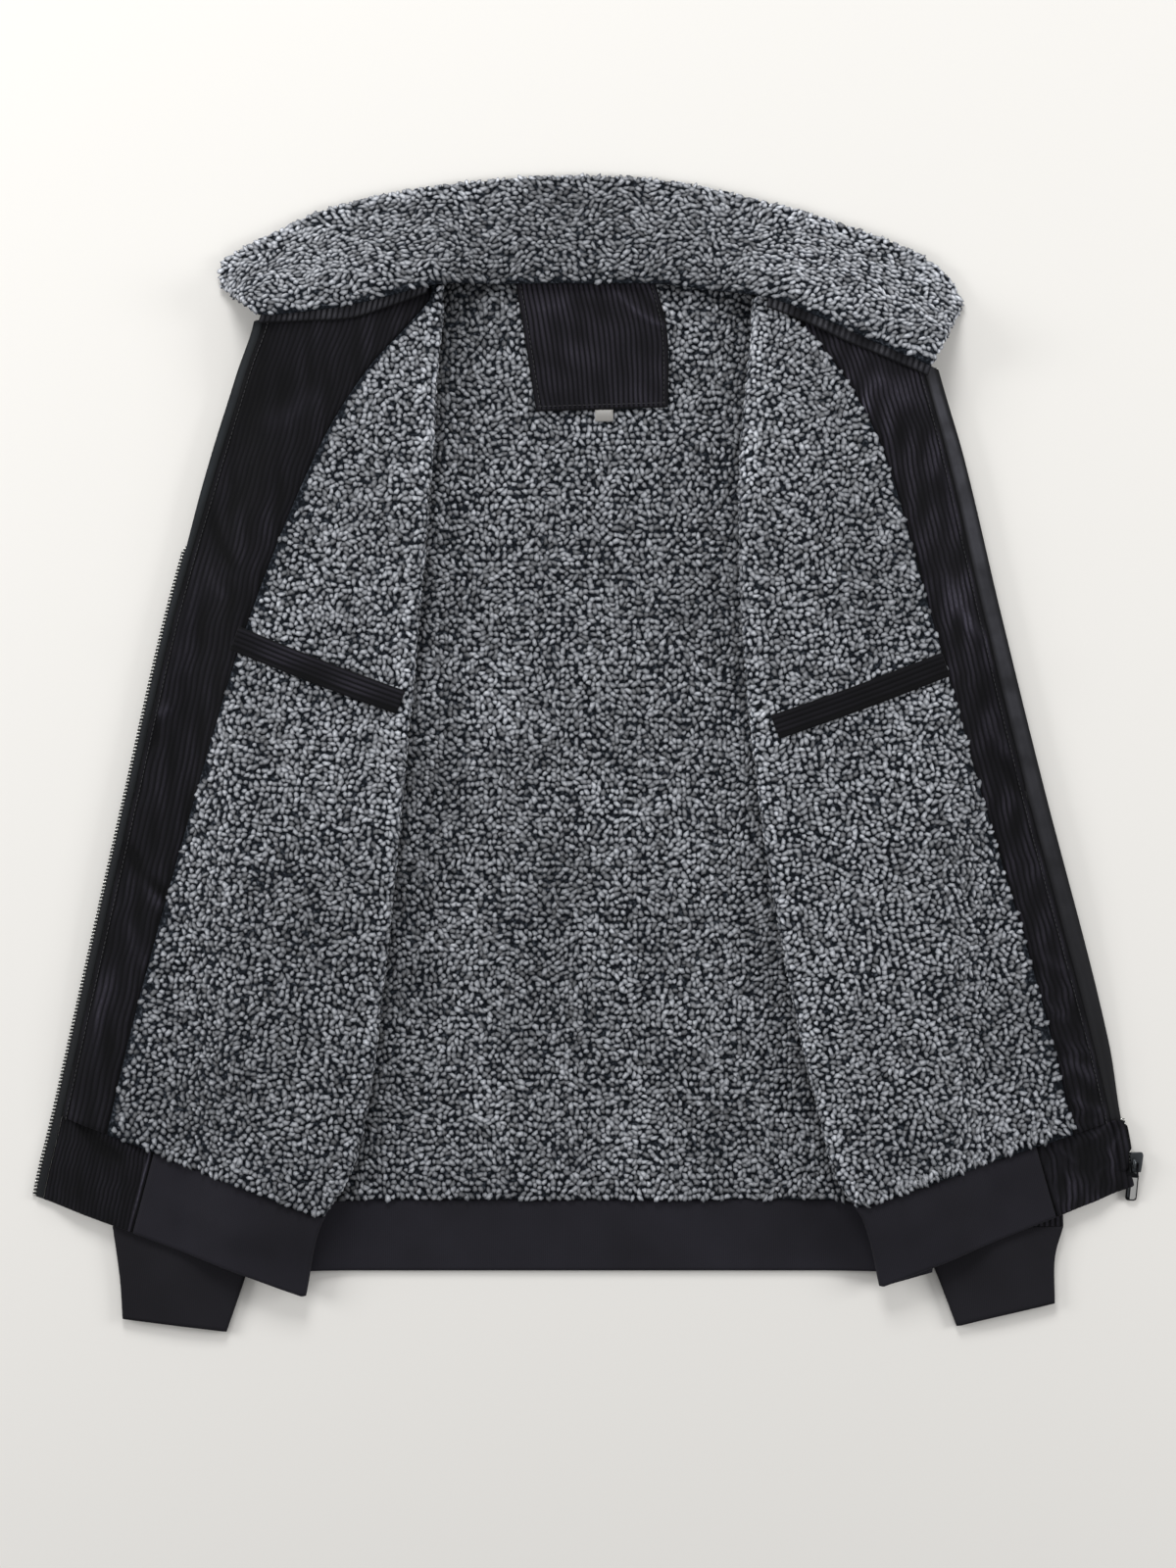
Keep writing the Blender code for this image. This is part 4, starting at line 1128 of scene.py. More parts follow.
def makeTube(name, slot, outer, inner, wall, sign, look):
    thick, count, rows = sleeve["thick"], sleeve["ring"], len(outer)
    outside = tubeRing(outer, inner, 0, thick, sign)
    shift = np.array([[wall, 0]])
    inside = tubeRing(outer - shift, inner + shift, wall, thick - 2 * wall, sign)
    upper = smooth(outside[..., 2] / thick * 2 - 1)
    outside[..., 2] -= upper * sleeve["sink"] * (1 + softWaves(outside[..., 0], outside[..., 1], 60, 17))
    total = rows * count
    faces = quads(0, rows, count, True) + quads(total, rows, count, True)
    for end in (0, (rows - 1) * count):
        for i in range(count):
            j = (i + 1) % count
            faces.append([end + i, end + j, total + end + j, total + end + i])
    ringLength = rowLengths(outside, 1, append=outside[:, :1])
    along = downSteps(0, np.linalg.norm(outside[-1, 0] - outside[0, 0]), rows)
    uv = gridOf(np.cumsum(ringLength, axis=1) - ringLength, along) * metre
    places, uvs = np.concatenate([outside, inside]), np.concatenate([uv, uv])
    made = cleaned(asMesh(name, places, faces, materials[look], uvs))
    middle = (outside + inside) / 2
    laySheet(made, slot, np.concatenate([middle, middle[:, :1]], axis=1))


def makeSleeve(side):
    y = np.linspace(sleeveRows[0].y, sleeveRows[-1].y, sleeve["rows"])
    outer, inner = [np.stack([through(sleeveRows, "y", key, y), y], axis=1) for key in ("outer", "inner")]
    makeTube("sleeve" + side.upper(), "outer_cloth", outer, inner, sleeve["wall"], sides[side], "outer")
    rows = cuffRows[side]
    at = np.linspace(0, rows[-1].at, sleeve["cuffRows"])
    outer, inner = [
        np.stack([through(rows, "at", key, at), through(rows, "at", key + "Y", at)], axis=1)
        for key in ("outer", "inner")
    ]
    makeTube("cuff" + side.upper(), "knit", outer, inner, sleeve["cuffWall"], sides[side], "cuff")


# The fronts

sliderPlace = {"x": 384.0, "y": -285.5}


class FrontLines:
    # sections across a front, from the zip edge over the fold to the side seam, one for each v

    def __init__(self, side, v):
        v = np.asarray(v, float).reshape(-1, 1)
        self.side, self.v = side, v
        rows = frontRows[side]
        self.zipY = alongEnds(zipEnds[side], v)
        self.foldY = alongEnds(foldEnds[side], v)
        self.sideY = alongEnds(sideEnds, v)
        self.zipEdge = through(rows, "y", "zipEdge", self.zipY)
        self.foldEdge = through(rows, "y", "fold", self.foldY)
        self.fold = self.foldEdge + np.where(v <= 1, liningOut, bandOut)
        self.bodySide = through(bodyRows, "y", "side", self.sideY)
        facingY = self.foldY
        for _ in range(4):  # the facing's edge is found where its line meets the slanting section
            self.facing = through(rows, "y", "facing", facingY)
            facingY = self.upperY(self.facing)
        self.facing = np.maximum(self.facing, self.fold + leastLining)
        width = tapeWidth[side]
        narrowed = smooth((v - tapeNarrows["start"]) / tapeNarrows["over"])
        self.tape = self.zipEdge - between(width.body, width.foot, narrowed)
        self.block = between(*blockEdge[side], v - 1)

    def upperY(self, a):
        return between(self.foldY, self.zipY, (a - self.foldEdge) / (self.zipEdge - self.foldEdge))

    def lowerY(self, a):
        return between(self.upperY(self.fold), self.sideY, (a - self.fold) / (self.bodySide - self.fold))

    def middle(self, a, y):
        # height of the middle of the fold, and of the plane that the upper leg rises from
        lift = between(foldLift, bandLift, smooth((drape["hemFallY"] - y) / drape["hemFall"]))
        past = smooth((a - self.bodySide - drape["levelPast"]) / drape["sideFall"])
        foot = drape["lowestMiddle"]
        if self.side == "r":
            away = np.hypot(a - sliderPlace["x"], y - sliderPlace["y"])
            foot = foot + drape["sliderLift"] * bell(away, drape["sliderLiftReach"])
        level = resting(a, y, drape["frontReach"])
        return np.maximum(foot, level - cloth["foldGap"] * past + lift * (1 - past))

    def creased(self, a, y, names):
        inner = smooth((a - self.fold) / front["rollReach"])
        return creaseRise(names, sides[self.side] * a, y) * between(front["rollCrease"], 1, inner)

    def upper(self, a, lift, names=()):
        y = self.upperY(a)
        z = self.middle(a, y) + lift + self.creased(a, y, names)
        return gridOf(sides[self.side] * a, y, z)

    def folded(self, outerEnd, lift, counts, names=(), bow=0.0):
        # lines at one distance from the fold's middle: along the top, round the fold and back under
        over, roll, under = counts
        a = between(outerEnd, self.fold, acrossSteps(0, 1, over))
        top = self.upper(a, lift, names)
        sag = smooth((a - self.fold) / front["bowRoom"]) * smooth((outerEnd - a) / front["bowRoom"])
        top[..., 2] += bow * sag * softWaves(top[..., 0], top[..., 1], front["bowMm"], front["bowSeed"])
        angle = math.pi * (0.5 - np.arange(1, roll).reshape(1, -1) / roll)
        y = self.upperY(self.fold)
        rise = self.creased(self.fold, y, names) * (0.5 + angle / math.pi)
        z = self.middle(self.fold, y) + lift * np.sin(angle) + rise
        turned = gridOf(sides[self.side] * (self.fold - lift * np.cos(angle)), y, z)
        a = between(self.fold, self.bodySide, acrossSteps(0, 1, under))
        y = self.lowerY(a)
        low = gridOf(sides[self.side] * a, y, self.middle(a, y) - lift)
        return np.concatenate([top, turned, low], axis=1)


front = {
    "rows": 70,
    "shellCounts": (40, 8, 10),
    "counts": (34, 10, 8),
    "bandCounts": (50, 12, 14),
    "bandRows": 24,
    "rollReach": 20,
    "rollCrease": 0.3,
    "pileBow": 0.5,
    "bandBow": 0.3,
    "bowRoom": 30,
    "bowMm": 80,
    "bowSeed": 23,
    "rimLight": 0.3,
    "rimReach": 5.0,
    "underFold": 0.4,
    "underReach": 13.0,
    "lowLight": {"l": 0.88, "r": 1.0},
    "lowLightY": -40,
    "lowLightFall": 160,
    "pileInset": {"l": 2.6, "r": -0.6},
    "pileFade": 1.5,
    "pileSeed": {"l": (1, 5), "r": (3, 7)},
}
fringe = {
    "reach": 7.0,
    "rise": 3.0,
    "under": 2.5,
    "spacing": 2.9,
    "lifts": (0.2, 0.5, 0),
    "turn": math.radians(108),
    "swirl": 2.4,
    "stretch": (1.2, 0.82, 1.1),
    "light": 1.08,
    "seed": 13,
}
firstBandV = 1 + cloth["seamGap"] / (back["hemY"] - back["footY"])


def pileShade(side, body, shown):
    # painted light along the rim of the fold, and painted shade on the side of it that turns under; lower
    # down, the left front is made a little darker
    over = front["counts"][0]
    a, y, z = np.abs(shown[..., 0]), shown[..., 1], shown[..., 2]
    rollTop = z[:, over - 1:over]
    rim = 1 + front["rimLight"] * bell(a - body.fold, front["rimReach"])
    lit = smooth(1 - (rollTop - z) / front["underReach"])
    turnedUnder = between(front["underFold"], 1 + front["rimLight"], lit)
    shade = np.where(np.arange(shown.shape[1]) < over, rim, turnedUnder)
    lower = smooth((front["lowLightY"] - y) / front["lowLightFall"])
    return shade * between(1, front["lowLight"][side], lower)


def hemFringe(end, hem, start):
    # longer curls in a row along the foot of the pile, made a little lighter with painted light
    strip = np.array([hem, hem, hem])
    strip[:, :, 1] += np.array([[fringe["reach"]], [fringe["under"]], [0]]) + start
    strip[:, :, 2] += np.array(fringe["lifts"]).reshape(-1, 1)
    return pileOn(
        "hemFringe" + end, strip, 1, "pile", fringe["seed"], fringe["light"], Swirl=fringe["swirl"],
        Turn=fringe["turn"], Stretch=fringe["stretch"], Spacing=fringe["spacing"] * metre,
    )


def makeFrontCloth(side):
    end = side.upper()
    body = FrontLines(side, np.linspace(0, 1, front["rows"]))
    edge, counts = body.tape - halfSeam, front["shellCounts"]
    top, low = [body.folded(edge, lift, counts, ["facing"]) for lift in (shellOut, cloth["foldGap"])]
    shell = clothWall("frontShell" + end, top, low, "outer", gridUv(top))
    laySheet(shell, "outer_cloth", top)

    edge, counts = body.facing - halfSeam, front["counts"]
    top = body.folded(edge, liningOut - pileHeight, counts, ["frontPile"], front["pileBow"])
    lining = clothWall("frontLining" + end, top, body.folded(edge, liningIn, counts), "backing")
    shown = top[:, :counts[0] + counts[1] - 1]
    a, hem = np.abs(shown[..., 0]), shown[-1]
    # on the left the pile stops short of the facing, and the strip of dark ground left bare is a painted
    # shadow beside the pile
    share = smooth((body.facing - a - front["pileInset"][side]) / front["pileFade"])
    piles = []
    if side == "r":  # here the pile ends in a fringe, which stops a little above the seam towards the facing
        start = fringe["rise"] * (a[-1] - body.fold[-1]) / (body.facing[-1] - body.fold[-1])
        start = np.maximum(0, start)
        above = shown[..., 1] - hem[:, 1]
        share = share * smooth((above - fringe["reach"] - start + fringe["under"]) / front["pileFade"])
        piles.append(hemFringe(end, hem, start))
    shade = pileShade(side, body, shown)
    piles += pileHalves("frontPile{}" + end, shown, share, shade, front["pileSeed"][side])
    laySheet(lining, "sherpa", top, piles)

    foot = FrontLines(side, np.linspace(firstBandV, 2, front["bandRows"]))
    edge, counts = foot.block - halfSeam, front["bandCounts"]
    top = foot.folded(edge, bandOut, counts, ["band"], front["bandBow"])
    band = clothWall("hemBand" + end, top, foot.folded(edge, cloth["foldGap"], counts), "knit", gridUv(top))
    laySheet(band, "knit", top)


# Corduroy whose wales run beside the zip and stop at an inner edge; they wander, fade and flatten in places
waled = {
    "facingRows": 150,
    "blockRows": 60,
    "columns": 4,
    "edgeRoom": 2.0,
    "puckerMm": 17,
    "pucker": 0.55,
    "puckerReach": 9,
    "deepest": -0.5,
    "gathers": 1.0,
    "gathersY": -130,
    "gathersFall": 70,
    "gather": 0.25,
    "gatherMore": 0.45,
    "gatherMm": {"l": 40, "r": 29},
    "fade": 0.66,
    "fadeSpread": 0.5,
    "fadeMm": 50,
    "leftFade": 0.8,
    "leastFade": 0.1,
    "flattest": 0.4,
    "wander": 0.9,
    "wanderMm": 40,
    "wanderReach": 8,
    "ripple": 0.35,
    "rippleMore": 2.4,
    "rippleMm": 16,
    "finePitch": 2.8,
    "creaseLight": 0.32,
    "creaseDark": 0.9,
    "rightLight": 0.4,
    "rightLightY": 20,
    "rightLightRise": 160,
    "mostLight": 1.4,
    "turnedEdge": {"l": 1.5, "r": 0.5},
    "edgeBead": 0.7,
    "beadInset": 2.6,
    "beadReach": 0.9,
    "seamInset": 3.0,
    "overTape": 2.3,
    "leftBlockLight": 0.8,
    "seed": {"l": 31, "r": 47},
}
# Places where the wales are rubbed flat: beside the zip at the top, and in the middle of the right block
Rubbed = namedtuple("Rubbed", "x y reachX reachY share")
rubbedPlaces = {"l": Rubbed(-238, 255, 34, 60, 0.85), "r": Rubbed(352, -277, 9, 13, 0.8)}


def waledGrid(lines, innerEnd, outer, foot, thick, names, seed, pitch):
    # the top and the underside of the cloth, its uv and how light each place is
    side, step = lines.side, pitch / waled["columns"]
    beside = lines.tape - halfSeam
    first, last = -math.ceil((outer - beside).max() / step), math.ceil((beside - innerEnd).max() / step)
    distance = np.arange(first, last + 1).reshape(1, -1) * step
    a = np.clip(beside - distance, innerEnd, outer)
    y = lines.upperY(a)
    x = sides[side] * a
    room = np.clip(np.minimum(a - innerEnd, outer - a) / waled["edgeRoom"], 0, 1)
    gathered = smooth((waled["gathersY"] - y) / waled["gathersFall"]) * (side == "r") * waled["gathers"]
    fade = waled["fade"] + waled["fadeSpread"] * softWaves(4 * x, y, waled["fadeMm"], seed + 3)
    fade = np.clip(fade, waled["leastFade"], 1.0)
    spot = rubbedPlaces[side]
    away = -((x - spot.x) / spot.reachX) ** 2 - ((y - spot.y) / spot.reachY) ** 2
    fade = fade * (1 - spot.share * np.exp(away))
    if side == "l":
        fade = fade * waled["leftFade"]
    crest = waleShape(distance / pitch) * room * fade
    pucker = waled["pucker"] * (1 + gathered) * softWaves(0 * x, y, waled["puckerMm"], seed)
    pucker = np.maximum(waled["deepest"], pucker * np.exp(-distance / waled["puckerReach"]))
    gather = waled["gather"] + waled["gatherMore"] * gathered
    gather = gather * softWaves(x, y, waled["gatherMm"][side], seed + 1)
    high = waled["flattest"] + (1 - waled["flattest"]) * fade
    rise = (cordCloth["waleHeight"] * crest / fade * high + pucker + gather) * room
    top = lines.upper(a, foot + thick + rise, names)
    wander = waled["wander"] * softWaves(x * 0.4, y, waled["wanderMm"], seed + 2)
    ripple = waled["ripple"] * (1 + waled["rippleMore"] * gathered)
    wander = wander + ripple * softWaves(x * 0.5, y, waled["rippleMm"], seed + 4)
    top[..., 0] += wander * room * np.clip(distance / waled["wanderReach"], 0, 1)
    turns = np.hypot(np.diff(lines.zipEdge, axis=0), np.diff(lines.zipY, axis=0))
    along = np.concatenate([np.zeros((1, 1)), np.cumsum(turns, axis=0)])
    # painted shade in the troughs of creases and painted light on their ridges; on the right the wales are
    # also lighter towards the neck
    folds = creaseRise(names, x, y) * room
    lit = crest * np.clip(1 + waled["creaseDark"] * folds, 0, 1) + waled["creaseLight"] * np.maximum(0, folds)
    if side == "r":
        lit = lit * (1 + waled["rightLight"] * smooth((y - waled["rightLightY"]) / waled["rightLightRise"]))
    return top, lines.upper(a, foot), gridOf(beside - a, along) * metre, np.clip(lit, 0, waled["mostLight"])


def makeFacing(side):
    end = side.upper()
    body = FrontLines(side, np.linspace(0, 1, waled["facingRows"]))
    inner, outer = body.facing + halfSeam, body.tape - halfSeam
    thick, pitch, seed = cloth["corduroy"], cordCloth["walePitch"], waled["seed"][side]
    top, low, uv, crest = waledGrid(body, inner, outer, liningIn, thick, ["facing"], seed, pitch)
    facing = clothWall("facing" + end, top, low, "corduroy", uv, crest)
    laySheet(facing, "corduroy", top[:, ::waled["columns"]])
    seam = body.upper(outer - waled["seamInset"], liningIn + thick + stitchLift, ["facing"])
    stitchPaths.append(seam[:, 0].tolist())


# The block's outer edge, whose lengths along the front are shares of the hem band's height
blockForm = {
    "turn": 0.05,
    "sliderClear": 0.5,
    "sliderTop": 0.47,
    "overZip": 0.3,
    "short": 4,
    "shortTurn": 0.16,
}


def makeBlock(side):
    foot = FrontLines(side, np.linspace(firstBandV, 2, waled["blockRows"]))
    inner, outer = foot.block + halfSeam, foot.tape - halfSeam
    pitch = waled["finePitch"] if side == "l" else cordCloth["walePitch"]
    # below the zip the block is as wide as the front
    pastZip = smooth((foot.v - zipFoot[side] + 0.01) / blockForm["turn"])
    widest = outer + (foot.zipEdge - outer) * pastZip
    if side == "r":  # and it lies over the foot of the tape, up to the slider
        besideSlider = sliderPlace["x"] - slider["width"] / 2 - blockForm["sliderClear"]
        short = blockForm["short"] * (1 - smooth((foot.v - 1) / blockForm["shortTurn"]))
        zipLine = foot.zipEdge + blockForm["overZip"] - short
        atSlider = smooth((foot.v - 1 - blockForm["sliderTop"]) / blockForm["turn"])
        overTape = between(zipLine, np.minimum(besideSlider, foot.zipEdge), atSlider)
        widest = between(overTape, foot.zipEdge, pastZip)
    thick, seed = cloth["block"], waled["seed"][side] + 5
    top, low, uv, crest = waledGrid(foot, inner, widest, cloth["foldGap"], thick, ["block"], seed, pitch)
    if side == "r":
        for grid in (top, low):
            over = smooth((np.abs(grid[..., 0]) - outer + 1) / 2.5)
            grid[..., 2] += waled["overTape"] * over * (1 - pastZip)
    else:
        crest = crest * waled["leftBlockLight"]
    fromEdge = np.abs(top[..., 0]) - inner
    bead = bell(fromEdge - waled["beadInset"], waled["beadReach"])  # the turned edge
    top[..., 2] += waled["edgeBead"] * bead
    # the wales fade out next to the seam, and the turned edge gets a painted highlight
    crest = crest * smooth((fromEdge - 2.5) / 2.0) + waled["turnedEdge"][side] * bead
    block = clothWall("cornerBlock" + side.upper(), top, low, "corduroy", uv, crest)
    laySheet(block, "corduroy", top[:, ::waled["columns"]])


# The zip

zipSizes = {
    "chainWidth": 3.0,
    "chainTuck": 0.4,
    "chainClear": 0.1,
    "chainSink": 0.8,
    "chainTop": 0.9,
    "tapeFoot": 1.5,
    "tapePuff": 0.35,
    "tapeSeam": 0.5,
    "tapeSeamAt": 0.45,
    "tapeSeamReach": 0.12,
    "cordTuck": 0.4,
    "cordReach": 2.1,
    "toothPitch": 2.5,
    "toothLean": 8,
    "toothSize": (2.7, 1.35, 1.5),
    "toothBevel": 0.28,
    "rows": 160,
}
zipFoot = {"l": 2, "r": 1.72}
chainShows = table("along shows", {
    "l": [(0, 0.2), (0.2, 0.4), (0.3, 1), (2, 1)],
    "r": [(0, 0), (0.9, 0), (1.0, 0.9), (1.5, 1), (2, 1)],
})


def followTree():
    # copies of one shape, evenly spaced along curves and turned with them
    tree, add, given = newTree("followPath", {
        "Shape": ("Object", None),
        "Pitch": ("Float", 0.003),
        "Slant": ("Float", 0.0),
        "Material": ("Material", None),
    })
    path = {"Curve": given["Geometry"], "Length": given["Pitch"]}
    points = add("GeometryNodeCurveToPoints", path, None, mode="LENGTH").outputs
    toPath = {"Vector": points["Tangent"]}
    turned = add("FunctionNodeAlignRotationToVector", toPath, axis="X", pivot_axis="Z")
    bySlant = add("FunctionNodeEulerToRotation", (add("ShaderNodeCombineXYZ", {"Z": given["Slant"]}),))
    turning = {"Rotation": turned, "Rotate By": bySlant}
    slanted = add("FunctionNodeRotateRotation", turning, rotation_space="LOCAL")
    shape = add("GeometryNodeObjectInfo", {"Object": given["Shape"], "As Instance": True}, "Geometry")
    copies = {"Points": points["Points"], "Instance": shape, "Rotation": slanted}
    endTree(add, given, add("GeometryNodeInstanceOnPoints", copies))
    return tree


followPath = followTree()


def alongPaths(name, paths, shape, pitch, look, slant=0.0):
    # a curve for each path, and the shape repeated along them all
    curve = bpy.data.curves.new(name + "Path", "CURVE")
    curve.dimensions = "3D"
    for path in paths:
        spline = curve.splines.new("POLY")
        spline.points.add(len(path) - 1)
        for point, (x, y, z) in zip(spline.points, path):
            point.co = (x * metre, y * metre, z * metre, 1)
    guide = linked(name + "Path", curve)
    values = {"Shape": shape, "Pitch": pitch * metre, "Slant": slant, "Material": materials[look]}
    made = madePlain(guide, followPath, values, name)
    bpy.data.objects.remove(guide, do_unlink=True)
    bpy.data.curves.remove(curve)
    return made


def asPart(mesh, name, look):
    # a shape of a metal part or a stitch, with its material
    made = asMesh(name, [], [], materials[look])
    mesh.to_mesh(made.data)
    mesh.free()
    made.data.materials.clear()
    made.data.materials.append(materials[look])
    made.data.shade_smooth()
    return made


def bevelledBox(name, size, bevel, look, middle=(0, 0, 0)):
    mesh = bmesh.new()
    bmesh.ops.create_cube(mesh, size=1)
    bmesh.ops.scale(mesh, vec=[s * metre for s in size], verts=mesh.verts)
    bmesh.ops.bevel(mesh, geom=mesh.edges[:], offset=bevel * metre, segments=1, affect="EDGES")
    made = asPart(mesh, name, look)
    made.data.transform(Matrix.Translation(Vector(middle) * metre))
    return made


def makeZipSide(side, tooth):
    end = side.upper()
    lines = FrontLines(side, np.linspace(0, zipFoot[side], zipSizes["rows"]))
    width = zipSizes["chainWidth"]
    shows = through(chainShows[side], "along", "shows", lines.v)
    outer, inner = lines.zipEdge - shows * width, lines.tape + halfSeam
    share = np.array([0, 0.12, 0.24, 0.36, 0.5, 0.64, 0.78, 0.9, 1]).reshape(1, -1)
    a = between(inner, outer, share)
    puff = zipSizes["tapePuff"] * np.sin(np.pi * share)
    if side == "r":  # a seam along the wider tape
        seam = bell(share - zipSizes["tapeSeamAt"], zipSizes["tapeSeamReach"])
        puff = puff - zipSizes["tapeSeam"] * seam
    foot = zipSizes["tapeFoot"]
    top = lines.upper(a, foot + cloth["tape"] + puff)
    tape = clothWall("zipTape" + end, top, lines.upper(a, foot), "tape" + end, gridUv(top))
    laySheet(tape, "tape", top)

    # the cord that the teeth grip, and the teeth along it
    chainOuter = np.where(shows > 0.95, outer + width, outer - zipSizes["chainTuck"])
    a = between(chainOuter - width + zipSizes["chainClear"], chainOuter, 0.18)
    a = np.concatenate([a - zipSizes["cordTuck"], a + zipSizes["cordReach"]], axis=1)
    top, low = lines.upper(a, zipSizes["chainTop"] - 0.5), lines.upper(a, 0.2 - zipSizes["chainSink"])
    cord = clothWall("zipCord" + end, top, low, "tapeL", gridUv(top))
    path = lines.upper(chainOuter - width / 2, 0.05)[:, 0].tolist()
    slant = math.radians(90 - zipSizes["toothLean"] * sides[side])
    teeth = alongPaths("zipTeeth" + end, [path], tooth, zipSizes["toothPitch"], "teeth", slant)
    for made in (cord, teeth):
        place(made, "zip_metal", "zip_chain_" + side)


# Welts and stands, which lie on the fronts


def topOf(names):
    # the height of the highest of the named solids of the frame near a point
    trees = []
    for name in names:
        mesh = bmesh.new()
        mesh.from_mesh(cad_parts[name].data)
        trees.append(bvhtree.BVHTree.FromBMesh(mesh))
        mesh.free()

    def height(x, y, reach):
        found = 0.0
        for nearX, nearY in around(x, y, reach, reach):
            start = Vector((nearX * metre, nearY * metre, 1))
            for tree in trees:
                hit = tree.ray_cast(start, Vector((0, 0, -1)))[0]
                if hit is not None:
                    found = max(found, hit.z / metre)
        return found

    return height


WeltLine = namedtuple("WeltLine", "startX startY endX endY")
weltLines = {"l": WeltLine(236, 86, 127, 44), "r": WeltLine(239, 68, 127, 27)}
welt = {
    "width": 17.0,
    "columns": 70,
    "places": 13,
    "wales": 5,
    "waleColumns": 4,
    "bow": 0.9,
    "lift": 0.7,
    "liftInset": 3,
    "liftReach": 4,
    "creased": 0.6,
    "past": 6.5,
    "clear": {"l": 1.0, "r": 0.5},
    "fade": 0.8,
    "fadeSpread": 0.3,
    "fadeMm": 40,
    "fadeSeed": 71,
    "edgeShade": 0.8,
    "edgeInset": 2.6,
    "edgeReach": 1.3,
}


def makeWelt(side):
    line, end = weltLines[side], side.upper()
    heightAt = topOf(["front_lining_" + side])
    length, alongX, alongY = courseOf(line)
    width, wales = welt["width"], welt["wales"]

    def at(t, d):  # a share of the way along the welt, and a distance across it
        x = line.startX + alongX * length * t - alongY * d
        return sides[side] * x, line.startY + alongY * length * t + alongX * d

    steps = np.linspace(0, 1, welt["places"])
    feet = [heightAt(*at(t, width / 2), width / 2) + cloth["layerGap"] for t in steps]
    t = downSteps(-welt["past"] / length, 1, welt["columns"])
    d = acrossSteps(0, width, wales * welt["waleColumns"] + 1)
    x, y = at(t, d + welt["bow"] * np.sin(np.pi * np.clip(t, 0, 1)))
    foot = np.interp(t, steps, feet) + creaseRise(["frontPile"], x, y) * welt["creased"]
    crest = waleShape(d / (width / wales)) * np.minimum(1, np.minimum(d, width - d) / 2 + 0.25)
    rise = cordCloth["waleHeight"] * crest + welt["lift"] * bell(d - welt["liftInset"], welt["liftReach"])
    fade = welt["fade"] + welt["fadeSpread"] * softWaves(x, 2 * y, welt["fadeMm"], welt["fadeSeed"])
    crest = crest * fade * welt["clear"][side]
    # painted shadow: a dark line along the welt near its far edge, against the pile
    crest = crest - welt["edgeShade"] * bell(width - welt["edgeInset"] - d, welt["edgeReach"])
    crest = np.clip(crest, 0, 1.2)
    top, low = gridOf(x, y, foot + cloth["corduroy"] + rise), gridOf(x, y, foot)
    uv = gridOf(d / (width / wales) * cordCloth["walePitch"], length * t) * metre
    made = clothWall("welt" + end, top, low, "corduroy", uv, crest)
    laySheet(made, "corduroy", top)


standRows = table("lowX lowY highX highY", {
    "l": [
        (229, 299.5, 226, 309),
        (196, 301, 194, 313),
        (164, 303, 161, 318),
        (136, 312, 133, 325),
        (112, 321, 110, 331),
    ],
    "r": [
        (236, 263, 240, 275),
        (206, 276, 210, 288),
        (179, 287, 183, 300),
        (151, 300, 155, 312),
        (124, 311, 127, 323),
    ],
})
stand = {
    "width": 12,
    "thick": 1.2,
    "places": 15,
    "reach": 7,
    "rows": 9,
    "waleColumns": 4,
    "waleHeight": 0.7,
    "fade": 0.75,
    "fadeSpread": 0.3,
    "fadeMm": 26,
    "fadeSeed": 81,
}


def makeStand(side):
    heightAt = topOf([kind + side for kind in ("facing_", "front_lining_", "zip_tape_")])
    rows, end = standRows[side], side.upper()
    first, last = rows[0].lowX, rows[-1].lowX

    def at(lowX, t):  # a place along the lower edge, and a share of the way up
        lowY, highX, highY = [through(rows, "lowX", key, lowX) for key in ("lowY", "highX", "highY")]
        return sides[side] * between(lowX, highX, t), between(lowY, highY, t)

    places = np.linspace(first, last, stand["places"])
    feet = [max(heightAt(*at(p, t), stand["reach"]) for t in (0, 0.5, 1)) + cloth["layerGap"] for p in places]
    wales = round(abs(first - last) / cordCloth["walePitch"])
    lowX = downSteps(first, last, wales * stand["waleColumns"] + 1)
    t = acrossSteps(0, 1, stand["rows"])
    x, y = at(lowX, t)
    foot = np.interp(-lowX, -places, feet)
    crest = waleShape((lowX - first) / cordCloth["walePitch"]) * np.minimum(1, np.minimum(t, 1 - t) * 6)
    fade = stand["fade"] + stand["fadeSpread"] * softWaves(x, y, stand["fadeMm"], stand["fadeSeed"])
    crest = crest * fade
    top = gridOf(x, y, foot + stand["thick"] + stand["waleHeight"] * crest)
    uv = gridOf(-lowX, t * stand["width"]) * metre
    made = clothWall("collarStand" + end, top, gridOf(x, y, foot), "stand", uv, np.clip(crest, 0, 1.2))
    laySheet(made, "corduroy", top)


# The collar

collarRows = table("at neckX neckY freeX freeY", [
    (0, -228, 305, -256, 328),
    (1, -218, 305, -254, 345),
    (2, -182, 309, -222, 363),
    (3, -146, 316, -182, 381),
    (4, -103, 327, -131, 393),
    (5, -50, 329, -60, 402),
    (6, 7, 329, 7, 404),
    (7, 60, 328, 67, 399),
    (8, 124, 317, 132, 384),
    (9, 165, 301, 175, 371),
    (10, 206, 283, 222, 354),
    (11, 228, 274, 250, 335),
    (12, 237, 270, 262, 316),
])
collar = {
    "width": 72,
    "hold": 0.16,
    "inset": 3.0,
    "rest": 0.2,
    "reach": 16,
    "clear": 1.0,
    "places": 27,
    "columns": 110,
    "rows": 24,
    "creaseRoom": 0.25,
    "middleShade": 0.64,
    "middleReach": 210,
    "neckShade": 0.2,
    "neckReach": 0.16,
    "freeLight": 0.25,
    "freeReach": 0.1,
    "rightLight": 0.04,
    "rimOut": 1.3,
    "rimDrop": 2.8,
    "rimLight": 1.3,
}


